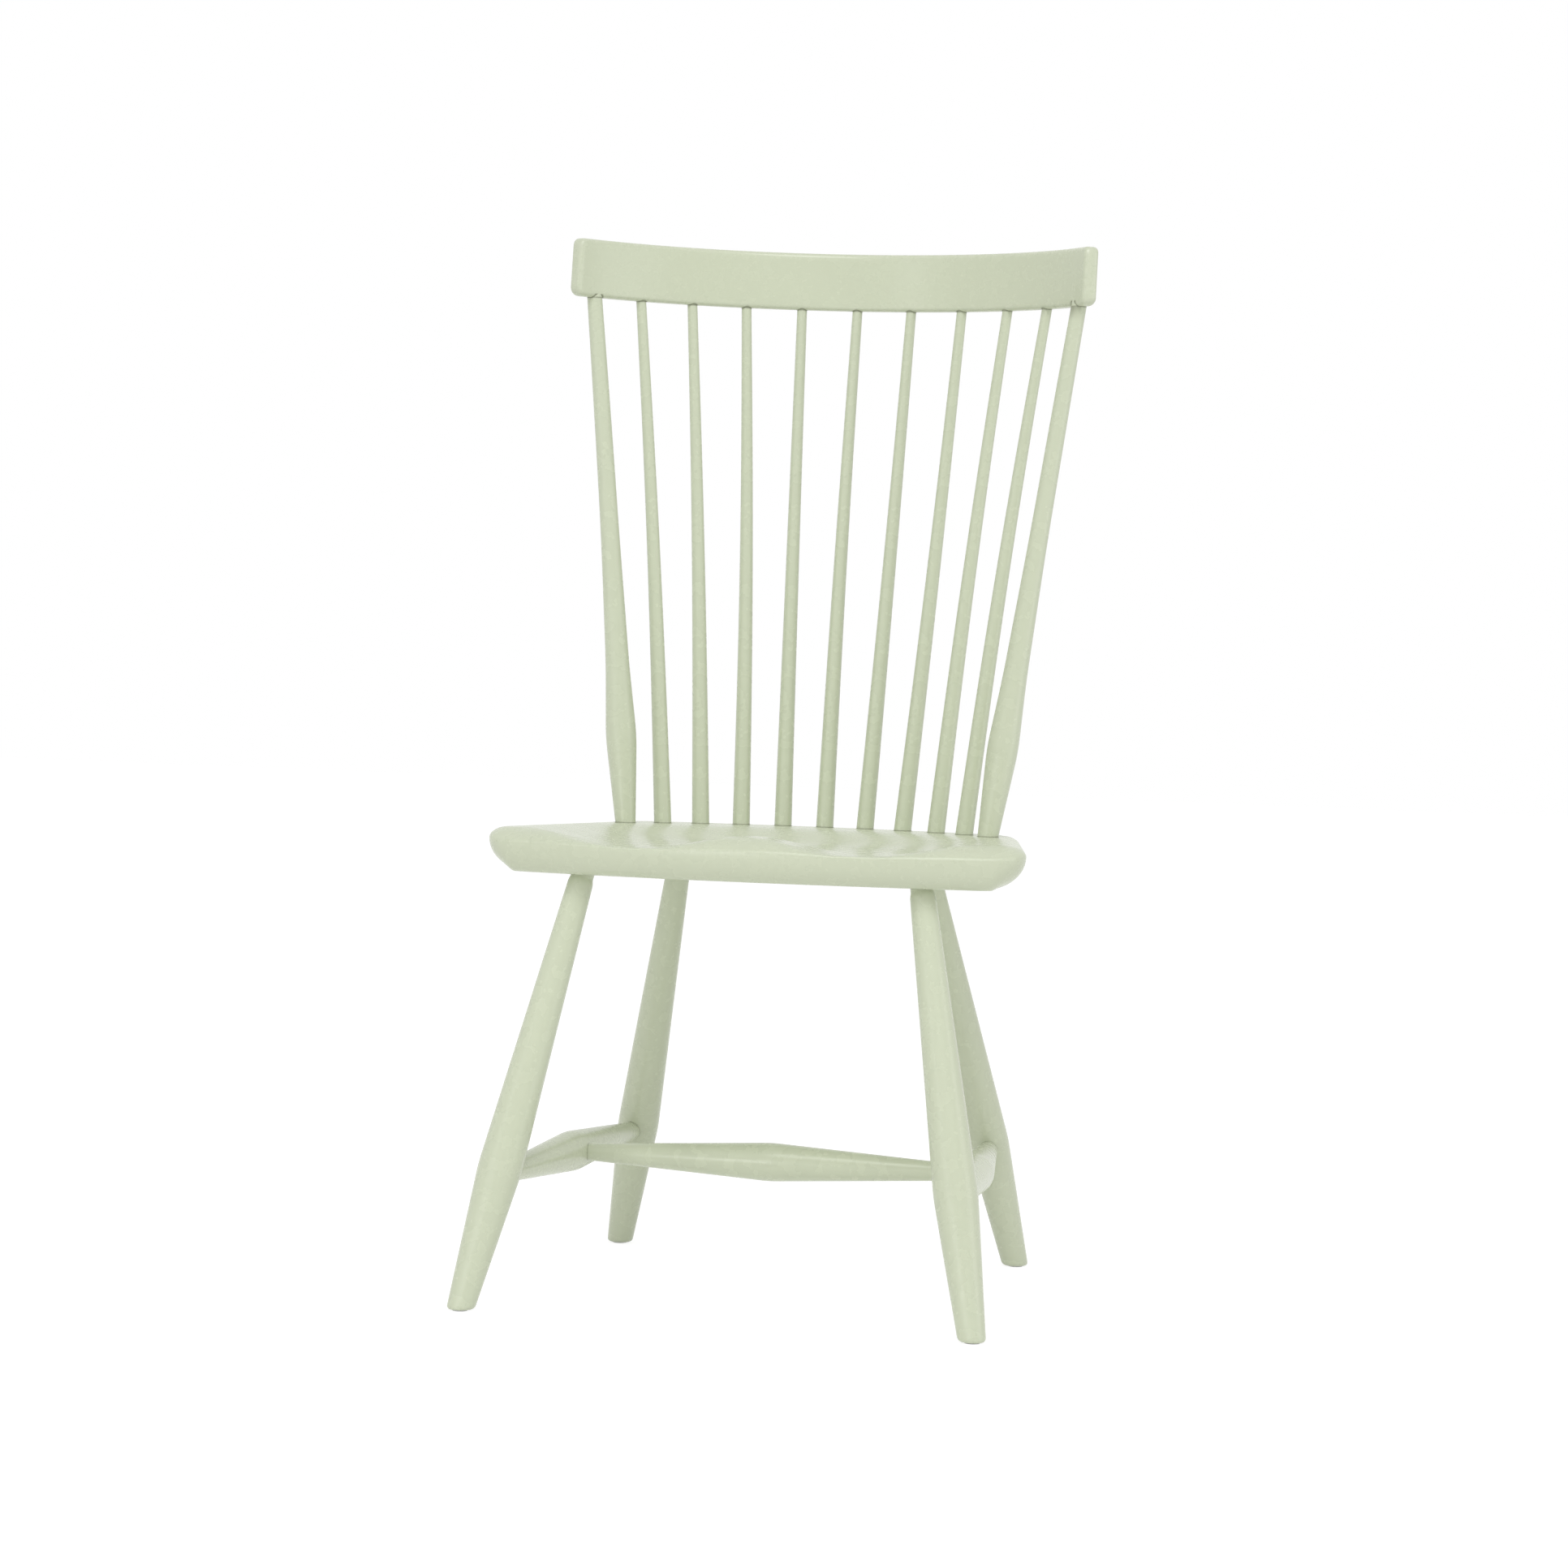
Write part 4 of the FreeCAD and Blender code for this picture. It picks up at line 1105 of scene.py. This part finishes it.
def rail_mesh(context):
    rail = context.scene.chair_rail
    back = context.scene.chair_back
    between_ends = 150
    rim_from, rim_reach, end_reach = 0.002, 0.0025, 0.004
    near_end = [0.0, 0.00012, 0.0004, 0.0009, 0.0016, 0.0025, 0.0036, 0.005, 0.0068, 0.009, 0.012]
    first, last = -back.rail_radius * rail.right_turn, back.rail_radius * rail.left_turn
    distances = [first + d for d in near_end]
    distances += list(np.linspace(first + near_end[-1], last - near_end[-1], between_ends)[1:-1])
    distances += [last - d for d in reversed(near_end)]
    rings, places, rims = [], [], []
    for distance in distances:
        left = min(distance - first, last - distance)
        half = rail.thickness / 2 - rounding(left, rail.arris)
        low = rounding(left, rail.low_corner)
        high = rail.height - rounding(left, rail.top_corner)
        section = rounded_section(half, low, high, rail.arris)
        angle = distance / back.rail_radius
        radius = back.rail_radius + section[:, 0]
        x = radius * math.sin(angle)
        y = back.rail_centre + radius * math.cos(angle) + section[:, 1] * math.tan(rail.lean)
        rings.append(np.column_stack([x, y, back.rail_bottom + section[:, 1] - rail_drop(context, x)]))
        places.append(np.column_stack([section, np.full(len(section), distance)]))
        # Painted highlight along the arrises and round the ends.
        from_edge = np.minimum(rail.thickness / 2 - np.abs(section[:, 0]), 1)
        from_top = np.minimum(section[:, 1], rail.height - section[:, 1])
        rims.append(np.exp(-((np.hypot(from_edge, from_top) - rim_from) / rim_reach) ** 2)
                    + math.exp(-(left / end_reach) ** 2))
    mesh = skin("crest_rail", np.array(rings)[::-1], np.array(places)[::-1])
    mark(mesh, RIM, np.concatenate([np.clip(np.array(rims[::-1]).ravel(), 0, 1), [0, 0]]))
    mark(mesh, SEAM, np.zeros(len(mesh.vertices)))
    return mesh


def rail_seams(context):
    """Dark joint lines with painted shade, in rings round the tops of the sticks and posts, in the rail's
    lower edge alone
    """
    back = context.scene.chair_back
    low, high = back.rail_bottom + 0.003, back.rail_bottom + 0.004
    return entry_seams((back.rail_centre, back.rail_radius, back.rail_step, back.rail_post),
                       (back.stick_top, back.post_top), (0.0004, 0.0018), (low, high, 1.0, 0.0))


class CHAIR_OT_build_rail(ChairStep, Operator):
    """Build the bent crest rail"""

    bl_idname = "chair.build_rail"
    bl_label = "Build Crest Rail"

    def execute(self, context):
        paint = satin_paint(context, "satin_paint_rail", rail_seams(context))
        add_piece(context, rail_mesh(context), "crest_rail", paint)
        return {"FINISHED"}


def refinish(node, material):
    """Gives a CAD node that is kept its material"""
    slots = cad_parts[node].material_slots
    if not slots:
        raise RuntimeError(node + " has no material slot")
    for slot in slots:
        slot.material = material


class CHAIR_OT_finish_pins(ChairStep, Operator):
    """Give the pins in the rail their steel"""

    bl_idname = "chair.finish_pins"
    bl_label = "Finish Pins"

    def execute(self, context):
        refinish("crest_pins", drawn_steel(context))
        return {"FINISHED"}


class CHAIR_OT_finish_glides(ChairStep, Operator):
    """Give the glides their moulded plastic"""

    bl_idname = "chair.finish_glides"
    bl_label = "Finish Glides"

    def execute(self, context):
        plastic = moulded_plastic(context)
        for leg in LEGS:
            refinish(leg.replace("_leg", "_glide"), plastic)
        return {"FINISHED"}


# Floor, light and camera.


def seen_directly(tree):
    """1 for rays from the camera, from gloss and through glass, 0 for light that falls on things"""
    path = wire(tree, "ShaderNodeLightPath")
    either = calculate(tree, "MAXIMUM", path.outputs["Is Camera Ray"], path.outputs["Is Glossy Ray"])
    return calculate(tree, "MAXIMUM", either, path.outputs["Is Transmission Ray"])


def build_floor(context):
    stage = context.scene.chair_stage
    mesh = bpy.data.meshes.new("floor")
    reach = 12.0
    corners = [(-reach, -reach, 0), (reach, -reach, 0), (reach, reach, 0), (-reach, reach, 0)]
    mesh.from_pydata(corners, [], [(0, 1, 2, 3)])
    floor = bpy.data.objects.new("floor", mesh)
    context.scene.collection.objects.link(floor)
    material = bpy.data.materials.new("pale_floor")
    tree = empty_tree(material)
    # Seen directly the floor is near white of itself, and still takes some of the chair's shadow.
    glow, shadow_share = 0.85, 0.3
    matt = wire(tree, "ShaderNodeBsdfDiffuse", None, Color=rgba(stage.floor))
    white = wire(tree, "ShaderNodeEmission", None, Color=(1, 1, 1, 1), Strength=glow)
    shaded = wire(tree, "ShaderNodeBsdfDiffuse", None, Color=rgba((1, 1, 1), shadow_share))
    shown = wire(tree, "ShaderNodeAddShader", None, i0=white.outputs[0], i1=shaded.outputs[0])
    mixed = wire(tree, "ShaderNodeMixShader", None, i0=seen_directly(tree), i1=matt.outputs[0],
                 i2=shown.outputs[0])
    finish_tree(tree, "ShaderNodeOutputMaterial", mixed.outputs[0])
    mesh.materials.append(material)


def build_world(context):
    stage = context.scene.chair_stage
    world = bpy.data.worlds.new("studio")
    context.scene.world = world
    tree = empty_tree(world)
    room = wire(tree, "ShaderNodeBackground", None, Color=(1, 1, 1, 1), Strength=stage.sky)
    white = wire(tree, "ShaderNodeBackground", None, Color=(1, 1, 1, 1), Strength=1.0)
    mixed = wire(tree, "ShaderNodeMixShader", None, i0=seen_directly(tree), i1=room.outputs[0],
                 i2=white.outputs[0])
    finish_tree(tree, "ShaderNodeOutputWorld", mixed.outputs[0])


def soft_box(context, name, place, aim_at, size, watts, spread=180.0):
    light = bpy.data.lights.new(name, "AREA")
    light.shape = "RECTANGLE"
    light.size, light.size_y = size
    light.energy = watts
    light.spread = math.radians(spread)
    lamp = bpy.data.objects.new(name, light)
    context.scene.collection.objects.link(lamp)
    aim = (Vector(aim_at) - Vector(place)).to_track_quat("-Z", "Y")
    lamp.matrix_world = Matrix.Translation(place) @ aim.to_matrix().to_4x4()


def build_camera(context):
    stage = context.scene.chair_stage
    place = (0.85024, -4.10548, 0.65491)
    yaw, pitch, roll = math.radians(11.7824), math.radians(2.2286), math.radians(1.694)
    level = math.cos(pitch)
    back = Vector((math.sin(yaw) * level, -math.cos(yaw) * level, math.sin(pitch)))
    right = Vector((math.cos(yaw), math.sin(yaw), 0))
    up = back.cross(right)
    level_right = right * math.cos(roll) + up * math.sin(roll)
    level_up = up * math.cos(roll) - right * math.sin(roll)
    lens = bpy.data.cameras.new("photo_camera")
    lens.lens = stage.lens
    lens.sensor_width = 36.0
    camera = bpy.data.objects.new("photo_camera", lens)
    context.scene.collection.objects.link(camera)
    turned = Matrix((level_right, level_up, back)).transposed().to_4x4()
    camera.matrix_world = Matrix.Translation(place) @ turned
    context.scene.camera = camera


class CHAIR_OT_build_stage(ChairStep, Operator):
    """Build the floor, the studio light and the camera"""

    bl_idname = "chair.build_stage"
    bl_label = "Build Stage"

    def execute(self, context):
        stage = context.scene.chair_stage
        build_floor(context)
        build_world(context)
        middle, feet = (0, 0, 0.55), (0, 0, 0.1)
        narrow = 26.0
        soft_box(context, "top_light", (0.8, -4.2, 6.6), middle, (3.6, 3.6), stage.top)
        soft_box(context, "key_light", (-3.4, -5.0, 2.2), middle, (0.8, 3.0), stage.key)
        soft_box(context, "fill_light", (5.0, -0.6, 1.4), middle, (2.4, 3.2), stage.fill)
        soft_box(context, "low_light", (-1.6, -5.5, 0.6), feet, (1.2, 0.8), stage.low, narrow)
        build_camera(context)
        context.scene.view_settings.view_transform = "Standard"
        return {"FINISHED"}


STEPS = (
    CHAIR_OT_build_seat,
    CHAIR_OT_build_legs,
    CHAIR_OT_build_stretchers,
    CHAIR_OT_build_sticks,
    CHAIR_OT_build_posts,
    CHAIR_OT_build_rail,
    CHAIR_OT_finish_pins,
    CHAIR_OT_finish_glides,
    CHAIR_OT_build_stage,
)


class CHAIR_PT_build(Panel):
    """Lists the steps that build the chair"""

    bl_idname = "CHAIR_PT_build"
    bl_label = "Windsor Chair"
    bl_space_type = "VIEW_3D"
    bl_region_type = "UI"
    bl_category = "Chair"

    def draw(self, context):
        for step in STEPS:
            self.layout.operator(step.bl_idname)
        for name, group in SETTINGS.items():
            box = self.layout.box()
            box.label(text=name.replace("chair_", "").capitalize())
            for value in group.__annotations__:
                box.prop(getattr(context.scene, name), value)


CLASSES = (*SETTINGS.values(), *STEPS, CHAIR_PT_build)


def register():
    for each in CLASSES:
        bpy.utils.register_class(each)
    for name, group in SETTINGS.items():
        setattr(bpy.types.Scene, name, PointerProperty(type=group))


def unregister():
    for name in SETTINGS:
        delattr(bpy.types.Scene, name)
    for each in reversed(CLASSES):
        bpy.utils.unregister_class(each)


def main():
    register()
    for step in STEPS:
        group, name = step.bl_idname.split(".")
        if getattr(getattr(bpy.ops, group), name)() != {"FINISHED"}:
            raise RuntimeError(step.bl_label + " did not finish")


if __name__ == "__main__":
    main()
